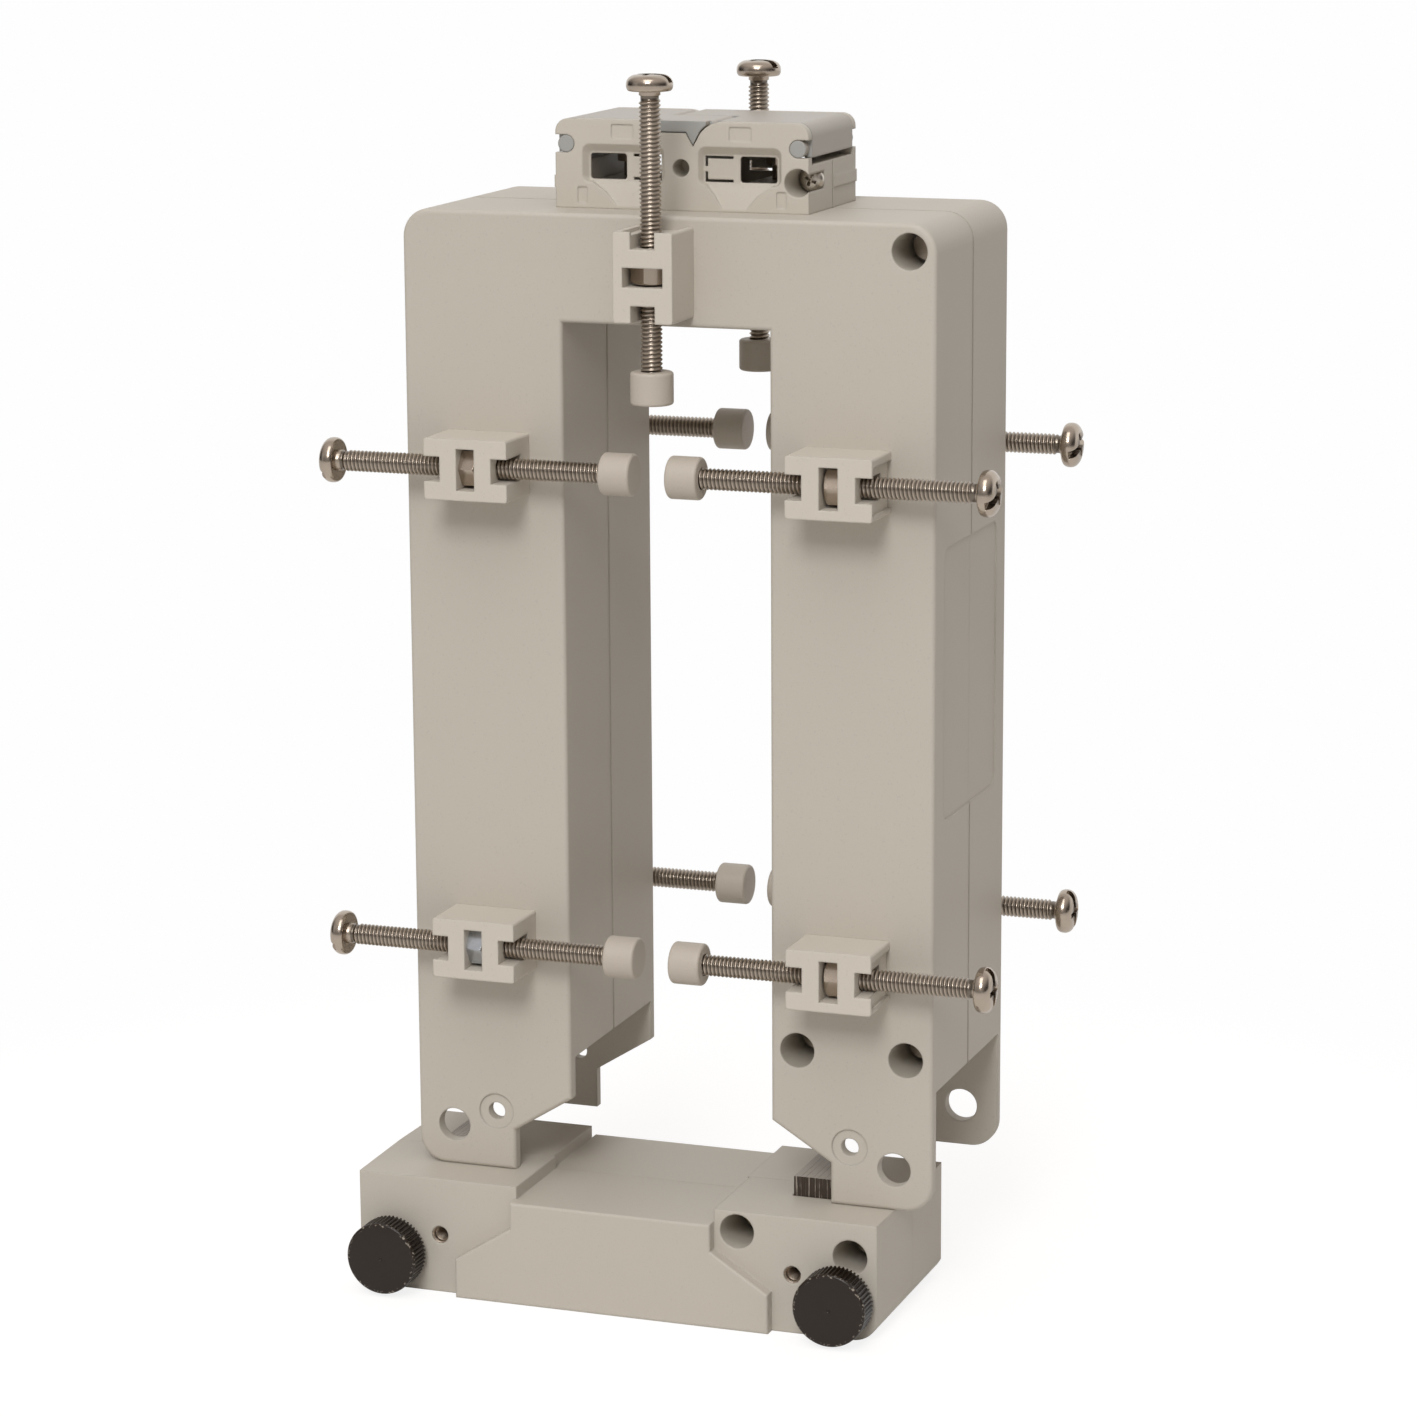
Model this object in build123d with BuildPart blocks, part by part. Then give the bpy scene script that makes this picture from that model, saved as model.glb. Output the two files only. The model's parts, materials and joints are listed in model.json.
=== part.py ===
from build123d import *
from math import cos, radians
import os

os.makedirs("parts", exist_ok=True)

# Split-core current transformer, millimetres, +Z up. The origin is the centre of the
# underside of the detached yoke block. The tall frame stands on the yoke by its two
# front foot plates, a little to the right and to the back, as it does when it is opened.

# Frame housing, the tall inverted U
frame_width = 128.0
frame_depth = 57.0
frame_height = 228.0
leg_width = 39.0
top_bar = 25.0
wall = 2.5
face_wall = 3.2
corner_radius = 6.5
edge_round = 1.0
seam_relief = 0.25

# Foot plates at the leg ends, which cover the ends of the yoke block when it is closed
plate_width = 24.6
plate_shoulder_low = 9.8
plate_shoulder_high = 18.8
stud_hole_diameter = 8.0
stud_from_edge = 9.1
stud_from_foot = 9.8
lock_hole_diameter = 4.2
lock_boss_diameter = 8.6
lock_boss_depth = 0.4
lock_from_edge = 19.9
lock_from_foot = 14.1

# Yoke block
block_height = 28.0
saddle_drop = 3.0
fit_clearance = 0.3
seam_jog = 0.6
yoke_edge_round = 0.6
yoke_overhang = 0.6
yoke_end_draft = 0.6

# Where the opened frame stands on the yoke: to the right, with its front foot plates just
# in front of the core stubs
frame_x = 9.9
plate_before_stub = 0.3

# Laminated core
core_strip = 19.4
core_limb = 10.5
core_inner_radius = 3.0
core_top_gap = 7.2
yoke_limb_low = 6.0
stub_height = 4.7
core_joint_gap = 0.1
socket_clearance = 0.6

# Shell screws in deep bores
bore_diameter = 8.3
bore_wall = 1.6
bore_depth = 16.0
corner_bore_inset = 6.2
foot_bore_inset = 6.4
foot_bore_height = 36.3
yoke_bore_outer = 5.9
yoke_bore_outer_drop = 8.2
yoke_bore_inner = 33.4
yoke_bore_inner_drop = 4.9
shell_screw_diameter = 3.5
shell_screw_head = 6.6
shell_screw_head_height = 2.4
shell_screw_grip = 12.0
shell_screw_clearance = 0.4

# Label field on the outer sides
label_height = 63.0
label_centre_height = 122.8
label_edge = 7.5
label_depth = 0.35
label_corner = 3.0

# Busbar clamp screws, M5
screw_diameter = 5.0
screw_length = 70.0
top_screw_length = 67.0
head_diameter = 10.5
head_height = 3.8
head_crown = 1.7
recess_length = 5.6
recess_width = 1.1
recess_depth = 2.2
slot_depth = 0.9
tip_chamfer = 0.5
nut_across_flats = 8.0
nut_height = 4.0
nut_thread_clearance = 0.05
cap_diameter = 9.8
cap_length = 7.5
cap_floor = 3.0
cap_round = 0.7
cap_fit = 0.02

# Clips that hold the clamp nuts
clip_length = 20.4
clip_width = 14.2
clip_height = 14.0
clip_axis_height = 8.3
clip_window_length = 4.4
clip_window_width = 9.6
clip_notch_length = 3.9
clip_notch_width = 5.8
clip_round = 0.6
clip_tongue_length = 9.0
clip_tongue_width = 6.0
clip_tongue_fit = 0.15
clip_pocket_depth = 0.8
clip_pocket_behind = 0.8
clip_pocket_near = 2.0
clip_pocket_far = 1.3
screw_bore_clearance = 0.2
clip_from_edge = 20.5
clip_row_low = 57.2
clip_row_high = 170.2
front_tip_from_centre = 4.3
rear_tip_from_centre = 3.0
front_tip_below_window = 16.5
rear_tip_below_window = 18.2

# Terminal block
terminal_width = 61.0
terminal_depth = 34.0
terminal_height = 20.3
terminal_wall = 2.2
terminal_floor = 3.0
terminal_corner = 3.0
terminal_rib = 3.0
chamber_margin = 0.7
side_wall_top = 11.0
lid_thickness = 1.8
lid_skirt_low = 12.6
cheek_thickness = 1.4
lid_gap = 0.25
lid_end_round = 1.2
lid_reach = 7.3
lid_tip_thickness = 0.8
nose_from_centre = 2.9
pivot_diameter = 3.9
pivot_clearance = 0.09
pivot_from_side = 2.6
pivot_height = 14.6
nose_width = 3.5
nose_low = 14.5
shoulder_length = 5.5
shoulder_radius = 7.0
shoulder_drop = 2.7
tab_length = 7.0
tab_swing_gap = 0.6
wire_slot_inner = 5.3
wire_slot_outer = 22.5
wire_slot_low = 6.6
wire_slot_high = 12.5
wire_slot_corner = 0.7
tab_slit = 0.6
tab_share_length = 8.4
tab_slit_share = 0.8
tab_bridge = 1.2
surround_depth = 1.7
surround_inner_margin = 1.2
surround_outer_margin = 1.5
surround_above = 2.2
surround_below = 0.7
surround_corner = 1.8
surround_floor_margin = 0.4
surround_floor_corner = 1.0
funnel_waist_drop = 2.8
funnel_waist_inner = 2.6
funnel_waist_outer = 4.2
funnel_foot_inset = 6.9
funnel_foot_width = 5.8
funnel_foot_height = 0.8
funnel_foot_depth = 0.1
mark_depth = 0.2
mark_corner = 0.4
upper_mark_width = 5.3
upper_mark_height = 3.2
upper_mark_from_centre = 14.2
upper_mark_middle = 17.6
lower_mark_width = 2.3
lower_mark_height = 3.7
lower_mark_from_centre = 24.0
lower_mark_middle = 3.0
side_seam_width = 0.5
side_seam_depth = 0.3
side_band_low = 4.6
side_band_high = 7.4
side_band_depth = 0.3
seal_hole_diameter = 4.0
seal_hole_height = 9.7
seal_hole_depth = 6.0
side_bore_diameter = 6.4
side_bore_from_side = 2.6
side_bore_height = 7.0
side_bore_depth = 11.0
side_screw_head = 5.6
side_screw_head_height = 2.2
side_screw_diameter = 3.0
side_screw_length = 9.0
contact_width = 9.0
contact_height = 3.2
contact_from_centre = 18.1
contact_length = 20.0
terminal_screw_diameter = 4.0
terminal_screw_head = 7.0
terminal_screw_head_height = 2.6
terminal_screw_lift = 3.4
small_head_round = 0.8
small_recess_length = 4.2
small_recess_width = 1.0
small_recess_depth = 1.2
side_recess_length = 3.1
side_recess_width = 0.8

# Bobbins and secondary windings
bobbin_low = 52.0
bobbin_below_bar = 14.3
bobbin_wall = 1.2
bobbin_fit = 0.25
flange_thickness = 1.6
winding_build = 6.5
winding_round = 3.0

# Thumb knobs and threaded inserts in the yoke
knob_diameter = 16.0
knob_thickness = 5.2
knob_from_edge = 8.3
knob_from_foot = 9.6
knob_teeth = 44
knob_tooth_depth = 0.45
knob_gap = 3.7
knob_chamfer = 0.5
stud_diameter = 6.0
stud_length = 12.0
stud_clearance = 0.06
stud_chamfer = 0.6
insert_diameter = 9.0
insert_length = 11.0
lock_insert_diameter = 6.0
lock_insert_length = 7.0
lock_thread_diameter = 3.6
insert_recess = 0.5

# Worked-out places
foot_z = block_height
wall_end = block_height + 0.5
window_width = frame_width - 2 * leg_width
window_top = frame_height - top_bar
half_width = frame_width / 2
yoke_half_width = half_width + yoke_overhang
yoke_seam_half_width = yoke_half_width + yoke_end_draft
half_depth = frame_depth / 2
recess_half_depth = half_depth - face_wall
frame_y = recess_half_depth - core_strip / 2 - plate_before_stub
leg_centre = half_width - leg_width / 2
front_face = Plane(origin=(frame_x, frame_y - half_depth, foot_z), x_dir=(1, 0, 0), z_dir=(0, -1, 0))
frame_seam = front_face.offset(-half_depth)
turn_axis = Axis((frame_x, frame_y, 0), (0, 0, 1))
yoke_face = Plane(origin=(0, -recess_half_depth, 0), x_dir=(1, 0, 0), z_dir=(0, -1, 0))
yoke_seam = yoke_face.offset(-recess_half_depth)
yoke_turn_axis = Axis((0, 0, 0), (0, 0, 1))


def save(part, name):
    """Label a finished piece and write it."""
    part.label = name
    export_step(part, f"parts/{name}.step")


# Flat outlines, drawn with X to the right and the foot or underside at Y 0

with BuildSketch() as u_outline:
    with Locations((0, wall_end)):
        Rectangle(frame_width, frame_height - wall_end, align=(Align.CENTER, Align.MIN))
    with Locations((0, wall_end)):
        Rectangle(
            window_width, window_top - wall_end, align=(Align.CENTER, Align.MIN), mode=Mode.SUBTRACT
        )
    fillet(u_outline.vertices().group_by(Axis.Y)[-1], corner_radius)

with BuildSketch() as u_inside:
    with Locations((0, wall_end + wall)):
        Rectangle(
            frame_width - 2 * wall, frame_height - wall_end - 2 * wall, align=(Align.CENTER, Align.MIN)
        )
    with Locations((0, wall_end)):
        Rectangle(
            window_width + 2 * wall,
            window_top + wall - wall_end,
            align=(Align.CENTER, Align.MIN),
            mode=Mode.SUBTRACT,
        )
    fillet(u_inside.vertices().group_by(Axis.Y)[-1], corner_radius - wall)

with BuildSketch() as plate_outline:
    with BuildLine():
        Polyline(
            (half_width, wall_end + corner_radius),
            (half_width, 0),
            (half_width - plate_width, 0),
            (half_width - plate_width, plate_shoulder_low),
            (half_width - leg_width, plate_shoulder_high),
            (half_width - leg_width, wall_end + corner_radius),
            close=True,
        )
    make_face()
    fillet(plate_outline.vertices().group_by(Axis.Y)[0].sort_by(Axis.X)[-1], corner_radius)
    mirror(about=Plane.YZ)

with BuildSketch() as plate_holes:
    for side in (-1, 1):
        with Locations((side * (half_width - stud_from_edge), stud_from_foot)):
            Circle(stud_hole_diameter / 2)
        with Locations((side * (half_width - lock_from_edge), lock_from_foot)):
            Circle(lock_hole_diameter / 2)

with BuildSketch() as yoke_outline:
    Rectangle(2 * yoke_seam_half_width, block_height - saddle_drop, align=(Align.CENTER, Align.MIN))
    for side in (-1, 1):
        with Locations((side * yoke_seam_half_width, 0)):
            Rectangle(
                yoke_seam_half_width - half_width + leg_width + (0 if side > 0 else seam_jog),
                block_height,
                align=(Align.MAX if side > 0 else Align.MIN, Align.MIN),
            )
    fillet(yoke_outline.vertices().group_by(Axis.Y)[0], corner_radius)

with BuildSketch() as saddle_outline:
    with BuildLine():
        Polyline(
            (0, 0),
            (half_width - plate_width - fit_clearance, 0),
            (half_width - plate_width - fit_clearance, plate_shoulder_low - fit_clearance),
            (half_width - leg_width, plate_shoulder_high - fit_clearance),
            (half_width - leg_width, block_height - saddle_drop),
            (0, block_height - saddle_drop),
            close=True,
        )
    make_face()
    mirror(about=Plane.YZ)

# Shell screw places on a front shell: bores on the right, posts for the other shell's
# screws on the left
frame_bores = [
    (half_width - corner_bore_inset, frame_height - corner_bore_inset),
    (half_width - foot_bore_inset, foot_bore_height),
    (half_width - leg_width + foot_bore_inset, foot_bore_height),
]
yoke_bores = [
    (half_width - yoke_bore_outer, block_height - yoke_bore_outer_drop),
    (half_width - yoke_bore_inner, block_height - yoke_bore_inner_drop),
]


def mirrored(points):
    """The same places on the left side."""
    return [(-x, y) for x, y in points]


# Clamp spots: name, centre on the face, inward direction and screw length
clamp_spots = [
    ("left_upper", (-half_width + clip_from_edge, clip_row_high), (1, 0, 0), screw_length),
    ("left_lower", (-half_width + clip_from_edge, clip_row_low), (1, 0, 0), screw_length),
    ("right_upper", (half_width - clip_from_edge, clip_row_high), (-1, 0, 0), screw_length),
    ("right_lower", (half_width - clip_from_edge, clip_row_low), (-1, 0, 0), screw_length),
    ("top", (0, frame_height - top_bar / 2), (0, 0, -1), top_screw_length),
]

# How far the cap's end lies from the clip's centre along the screw
side_reach = {
    "front": half_width - front_tip_from_centre - clip_from_edge,
    "rear": half_width - rear_tip_from_centre - clip_from_edge,
}
top_reach = {
    "front": front_tip_below_window + top_bar / 2,
    "rear": rear_tip_below_window + top_bar / 2,
}


def clamp_seat(row, centre, direction):
    """Plane of a clip's foot: X along the screw towards its tip, Z away from the housing."""
    facing = -1 if row == "front" else 1
    return Plane(
        origin=(frame_x + centre[0], frame_y + facing * half_depth, foot_z + centre[1]),
        x_dir=direction,
        z_dir=(0, facing, 0),
    )


def clamp_axis(seat, reach, length):
    """Plane at the screw head's underside, Z along the screw towards its tip."""
    start = reach - cap_floor - length
    origin = seat.origin + seat.x_dir * start + seat.z_dir * clip_axis_height
    return Plane(origin=origin, x_dir=seat.z_dir, z_dir=seat.x_dir)


# Frame shells. The rear shell is the front shell turned half round.

with BuildPart() as frame_front_shell:
    with BuildSketch(front_face):
        add(u_outline.sketch)
    extrude(amount=-(half_depth - 2 * seam_relief))
    with BuildSketch(frame_seam):
        offset(u_outline.sketch, amount=-seam_relief)
    extrude(amount=2 * seam_relief)
    with BuildSketch(front_face):
        add(plate_outline.sketch)
    extrude(amount=-face_wall)
    fillet(frame_front_shell.faces().sort_by(Axis.Y)[0].outer_wire().edges(), edge_round)
    with BuildSketch(front_face.offset(-face_wall)):
        add(u_inside.sketch)
    extrude(amount=-half_depth, mode=Mode.SUBTRACT)
    # Screw bosses from the face to the seam
    with BuildSketch(frame_seam):
        with Locations(frame_bores + mirrored(frame_bores)):
            Circle(bore_diameter / 2 + bore_wall)
        add(u_outline.sketch, mode=Mode.INTERSECT)
    extrude(amount=half_depth - face_wall / 2)
    with BuildSketch(front_face):
        with Locations(frame_bores):
            Circle(bore_diameter / 2)
    extrude(amount=-bore_depth, mode=Mode.SUBTRACT)
    with BuildSketch(front_face.offset(-bore_depth)):
        with Locations(frame_bores):
            Circle((shell_screw_diameter + shell_screw_clearance) / 2)
    extrude(amount=-half_depth, mode=Mode.SUBTRACT)
    with BuildSketch(frame_seam):
        with Locations(mirrored(frame_bores)):
            Circle(shell_screw_diameter / 2)
    extrude(amount=shell_screw_grip, mode=Mode.SUBTRACT)
    # Foot plate holes, the small one in a shallow ring
    with BuildSketch(front_face):
        add(plate_holes.sketch)
    extrude(amount=-face_wall, mode=Mode.SUBTRACT)
    with BuildSketch(front_face):
        for side in (-1, 1):
            with Locations((side * (half_width - lock_from_edge), lock_from_foot)):
                Circle(lock_boss_diameter / 2)
    extrude(amount=-lock_boss_depth, mode=Mode.SUBTRACT)
    # Sockets in the leg ends for the core stubs
    with BuildSketch(Plane(origin=(frame_x, frame_y, foot_z + wall_end))):
        with Locations((-leg_centre, 0), (leg_centre, 0)):
            Rectangle(core_limb + 2 * socket_clearance, core_strip + 2 * socket_clearance)
    extrude(amount=wall, mode=Mode.SUBTRACT)
    # Slots for the clip tongues
    for _, centre, direction, _ in clamp_spots:
        with BuildSketch(clamp_seat("front", centre, direction)):
            Rectangle(clip_tongue_length, clip_tongue_width)
        extrude(amount=-face_wall, mode=Mode.SUBTRACT)
    # Label fields on both outer sides
    for side in (-1, 1):
        field = Plane(
            origin=(frame_x + side * half_width, frame_y, foot_z + label_centre_height),
            x_dir=(0, 1, 0),
            z_dir=(side, 0, 0),
        )
        with BuildSketch(field):
            RectangleRounded(frame_depth - 2 * label_edge, label_height, label_corner)
        extrude(amount=-label_depth, mode=Mode.SUBTRACT)
save(frame_front_shell.part, "frame_front_shell")
frame_rear_shell = frame_front_shell.part.rotate(turn_axis, 180)
save(frame_rear_shell, "frame_rear_shell")

# Yoke shells. The jog in the saddle's ends shows where the two halves meet.

with BuildPart() as yoke_front_shell:
    with BuildSketch(yoke_face):
        add(yoke_outline.sketch)
    extrude(amount=-recess_half_depth)
    # The ends widen a little towards the seam
    with BuildSketch():
        with BuildLine():
            Polyline(
                (-yoke_half_width, -recess_half_depth),
                (yoke_half_width, -recess_half_depth),
                (yoke_seam_half_width, 0),
                (-yoke_seam_half_width, 0),
                close=True,
            )
        make_face()
    extrude(amount=block_height, mode=Mode.INTERSECT)
    with BuildSketch(yoke_face):
        add(saddle_outline.sketch)
    extrude(amount=face_wall)
    fillet(yoke_front_shell.faces().sort_by(Axis.Y)[0].outer_wire().edges(), yoke_edge_round)
    with BuildSketch(yoke_face.offset(-face_wall)):
        offset(yoke_outline.sketch, amount=-wall)
    extrude(amount=-recess_half_depth, mode=Mode.SUBTRACT)
    # Screw bosses and the bosses of the threaded inserts
    with BuildSketch(yoke_seam):
        with Locations(yoke_bores + mirrored(yoke_bores)):
            Circle(bore_diameter / 2 + bore_wall)
        add(yoke_outline.sketch, mode=Mode.INTERSECT)
    extrude(amount=recess_half_depth - face_wall / 2)
    with BuildSketch(yoke_face.offset(-face_wall / 2)):
        for side in (-1, 1):
            with Locations((side * (half_width - knob_from_edge), knob_from_foot)):
                Circle(insert_diameter / 2 + bore_wall)
            with Locations((side * (half_width - lock_from_edge), lock_from_foot)):
                Circle(lock_insert_diameter / 2 + bore_wall)
        add(yoke_outline.sketch, mode=Mode.INTERSECT)
    extrude(amount=-(insert_recess + insert_length))
    with BuildSketch(yoke_face):
        with Locations(yoke_bores):
            Circle(bore_diameter / 2)
    extrude(amount=-bore_depth, mode=Mode.SUBTRACT)
    with BuildSketch(yoke_face.offset(-bore_depth)):
        with Locations(yoke_bores):
            Circle((shell_screw_diameter + shell_screw_clearance) / 2)
    extrude(amount=-recess_half_depth, mode=Mode.SUBTRACT)
    with BuildSketch(yoke_seam):
        with Locations(mirrored(yoke_bores)):
            Circle(shell_screw_diameter / 2)
    extrude(amount=shell_screw_grip, mode=Mode.SUBTRACT)
    # Pockets of the threaded inserts
    for side in (-1, 1):
        with BuildSketch(yoke_face):
            with Locations((side * (half_width - knob_from_edge), knob_from_foot)):
                Circle(insert_diameter / 2)
        extrude(amount=-(insert_recess + insert_length), mode=Mode.SUBTRACT)
        with BuildSketch(yoke_face):
            with Locations((side * (half_width - lock_from_edge), lock_from_foot)):
                Circle(lock_hole_diameter / 2)
        extrude(amount=-insert_recess, mode=Mode.SUBTRACT)
        with BuildSketch(yoke_face.offset(-insert_recess)):
            with Locations((side * (half_width - lock_from_edge), lock_from_foot)):
                Circle(lock_insert_diameter / 2)
        extrude(amount=-lock_insert_length, mode=Mode.SUBTRACT)
    # Openings that the core stubs rise through
    with BuildSketch(Plane.XY.offset(block_height)):
        with Locations((-leg_centre, 0), (leg_centre, 0)):
            Rectangle(core_limb + 2 * fit_clearance, core_strip + 2 * fit_clearance)
    extrude(amount=-wall, mode=Mode.SUBTRACT)
save(yoke_front_shell.part, "yoke_front_shell")
save(yoke_front_shell.part.rotate(yoke_turn_axis, 180), "yoke_rear_shell")

# Core halves, wound from strip and cut: the long main core in the frame and the short
# yoke core, whose ends rise out of the block

core_half_span = leg_centre + core_limb / 2
core_outer_radius = core_inner_radius + core_limb
stub_top = block_height + stub_height
main_core_low = stub_top + core_joint_gap
main_core_high = frame_height - core_top_gap
core_front = Plane(origin=(frame_x, frame_y - core_strip / 2, foot_z), x_dir=(1, 0, 0), z_dir=(0, -1, 0))
yoke_core_front = Plane(origin=(0, -core_strip / 2, 0), x_dir=(1, 0, 0), z_dir=(0, -1, 0))

with BuildPart() as main_core:
    with BuildSketch(core_front) as outer:
        with Locations((0, main_core_low)):
            Rectangle(2 * core_half_span, main_core_high - main_core_low, align=(Align.CENTER, Align.MIN))
        fillet(outer.vertices().group_by(Axis.Y)[-1], core_outer_radius)
    extrude(amount=-core_strip)
    with BuildSketch(core_front) as inner:
        with Locations((0, main_core_low)):
            Rectangle(
                2 * (core_half_span - core_limb),
                main_core_high - main_core_low - core_limb,
                align=(Align.CENTER, Align.MIN),
            )
        fillet(inner.vertices().group_by(Axis.Y)[-1], core_inner_radius)
    extrude(amount=-core_strip, mode=Mode.SUBTRACT)
save(main_core.part, "main_core")

with BuildPart() as yoke_core:
    with BuildSketch(yoke_core_front) as outer:
        with Locations((0, yoke_limb_low)):
            Rectangle(2 * core_half_span, stub_top - yoke_limb_low, align=(Align.CENTER, Align.MIN))
        fillet(outer.vertices().group_by(Axis.Y)[0], core_outer_radius)
    extrude(amount=-core_strip)
    with BuildSketch(yoke_core_front) as inner:
        with Locations((0, stub_top)):
            Rectangle(
                2 * (core_half_span - core_limb),
                stub_top - yoke_limb_low - core_limb,
                align=(Align.CENTER, Align.MAX),
            )
        fillet(inner.vertices().group_by(Axis.Y)[0], core_inner_radius)
    extrude(amount=-core_strip, mode=Mode.SUBTRACT)
save(yoke_core.part, "yoke_core")

# Bobbins slide over the core legs and touch the housing with their flanges; each carries
# one half of the secondary winding

tube_width = core_limb + 2 * (bobbin_fit + bobbin_wall)
tube_depth = core_strip + 2 * (bobbin_fit + bobbin_wall)
flange_width = leg_width - 2 * (wall + fit_clearance)
flange_depth = frame_depth - 2 * (face_wall + fit_clearance)
bobbin_high = main_core_high - core_limb - bobbin_below_bar

for name, side in (("left", -1), ("right", 1)):
    leg_plane = Plane(origin=(frame_x + side * leg_centre, frame_y, foot_z + bobbin_low))
    with BuildPart() as bobbin:
        with BuildSketch(leg_plane, leg_plane.offset(bobbin_high - bobbin_low - flange_thickness)):
            Rectangle(flange_width, flange_depth)
        extrude(amount=flange_thickness)
        with BuildSketch(leg_plane):
            Rectangle(tube_width, tube_depth)
        extrude(amount=bobbin_high - bobbin_low)
        with BuildSketch(leg_plane):
            Rectangle(core_limb + 2 * bobbin_fit, core_strip + 2 * bobbin_fit)
        extrude(amount=bobbin_high - bobbin_low, mode=Mode.SUBTRACT)
    save(bobbin.part, f"bobbin_{name}")
    with BuildPart() as winding:
        with BuildSketch(leg_plane.offset(flange_thickness)):
            RectangleRounded(tube_width + 2 * winding_build, tube_depth + 2 * winding_build, winding_round)
            Rectangle(tube_width, tube_depth, mode=Mode.SUBTRACT)
        extrude(amount=bobbin_high - bobbin_low - 2 * flange_thickness)
    save(winding.part, f"secondary_winding_{name}")

# Shell screws: pan heads at the bottom of the deep bores


def shell_screws(face, places, turn):
    """Screws through the bores of a front shell and, turned round, through the rear shell."""
    with BuildPart() as screws:
        with BuildSketch(face.offset(-bore_depth)):
            with Locations(places):
                Circle(shell_screw_head / 2)
        extrude(amount=shell_screw_head_height)
        with BuildSketch(face.offset(-bore_depth)):
            with Locations(places):
                Circle(shell_screw_diameter / 2)
        extrude(amount=-(-face.origin.Y + turn.position.Y - bore_depth + shell_screw_grip))
        add(screws.part.rotate(turn, 180))
    return screws.part


save(shell_screws(front_face, frame_bores, turn_axis), "frame_shell_screws")
save(shell_screws(yoke_face, yoke_bores, yoke_turn_axis), "yoke_shell_screws")

# Busbar clamps: clip, nut, screw and tip cap at each of the ten spots


def make_clip(seat):
    """I-shaped clip with a pocket for the nut and a tongue into the housing."""
    pocket_floor = clip_axis_height - nut_across_flats / cos(radians(30)) / 2 - fit_clearance
    with BuildPart() as clip:
        with BuildSketch(seat):
            Rectangle(clip_length, clip_width)
        extrude(amount=clip_height)
        fillet(clip.edges().filter_by(Axis(seat.origin, seat.z_dir)), clip_round)
        with BuildSketch(seat.offset(clip_height)):
            notch_place = (clip_length - clip_notch_length) / 2
            with Locations((-notch_place, 0), (notch_place, 0)):
                Rectangle(clip_notch_length, clip_notch_width)
        extrude(amount=-(clip_height - clip_axis_height + clip_notch_width / 2), mode=Mode.SUBTRACT)
        with BuildSketch(seat.offset(clip_height)):
            Rectangle(clip_window_length, clip_window_width)
        extrude(amount=-(clip_height - pocket_floor), mode=Mode.SUBTRACT)
        # Shallow pocket in the end where the screw's head is
        with BuildSketch(seat):
            with Locations((-clip_length / 2, (clip_pocket_near - clip_pocket_far) / 2)):
                Rectangle(2 * clip_pocket_depth, clip_width - clip_pocket_near - clip_pocket_far)
        extrude(amount=clip_height - clip_pocket_behind, mode=Mode.SUBTRACT)
        bore_start = seat.origin + seat.z_dir * clip_axis_height - seat.x_dir * clip_length / 2
        with BuildSketch(Plane(origin=bore_start, x_dir=seat.z_dir, z_dir=seat.x_dir)):
            Circle(screw_diameter / 2 + screw_bore_clearance)
        extrude(amount=clip_length, mode=Mode.SUBTRACT)
        with BuildSketch(seat):
            Rectangle(clip_tongue_length - 2 * clip_tongue_fit, clip_tongue_width - 2 * clip_tongue_fit)
        extrude(amount=-face_wall)
    return clip.part


def make_clamp_screw(head_plane, length):
    """Pan head screw with a cross recess and a slot, without its thread."""
    with BuildPart() as screw:
        with BuildSketch(head_plane):
            Circle(head_diameter / 2)
        extrude(amount=-head_height)
        crown = screw.faces().filter_by(GeomType.PLANE).sort_by(Axis(head_plane.origin, head_plane.z_dir))[0]
        fillet(crown.edges(), head_crown)
        with BuildSketch(head_plane):
            Circle(screw_diameter / 2)
        extrude(amount=length)
        tip = screw.faces().filter_by(GeomType.PLANE).sort_by(Axis(head_plane.origin, head_plane.z_dir))[-1]
        chamfer(tip.edges(), tip_chamfer)
        with BuildSketch(head_plane.offset(-head_height)):
            Rectangle(recess_length, recess_width)
            Rectangle(recess_width, recess_length)
        extrude(amount=recess_depth, mode=Mode.SUBTRACT)
        with BuildSketch(head_plane.offset(-head_height)):
            Rectangle(head_diameter, recess_width)
        extrude(amount=slot_depth, mode=Mode.SUBTRACT)
    return screw.part


def make_cap(head_plane, length):
    """Plastic cap pressed over the screw's tip."""
    start = head_plane.offset(length + cap_floor - cap_length)
    with BuildPart() as cap:
        with BuildSketch(start):
            Circle(cap_diameter / 2)
        extrude(amount=cap_length)
        fillet(cap.edges().filter_by(GeomType.CIRCLE), cap_round)
        with BuildSketch(start):
            Circle(screw_diameter / 2 + cap_fit)
        extrude(amount=cap_length - cap_floor, mode=Mode.SUBTRACT)
    return cap.part


def make_nut(seat):
    """Hexagon nut, one corner outwards."""
    start = seat.origin + seat.z_dir * clip_axis_height - seat.x_dir * nut_height / 2
    with BuildPart() as nut:
        with BuildSketch(Plane(origin=start, x_dir=seat.z_dir, z_dir=seat.x_dir)):
            RegularPolygon(nut_across_flats / 2, 6, major_radius=False)
            Circle(screw_diameter / 2 + nut_thread_clearance, mode=Mode.SUBTRACT)
        extrude(amount=nut_height)
    return nut.part


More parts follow.
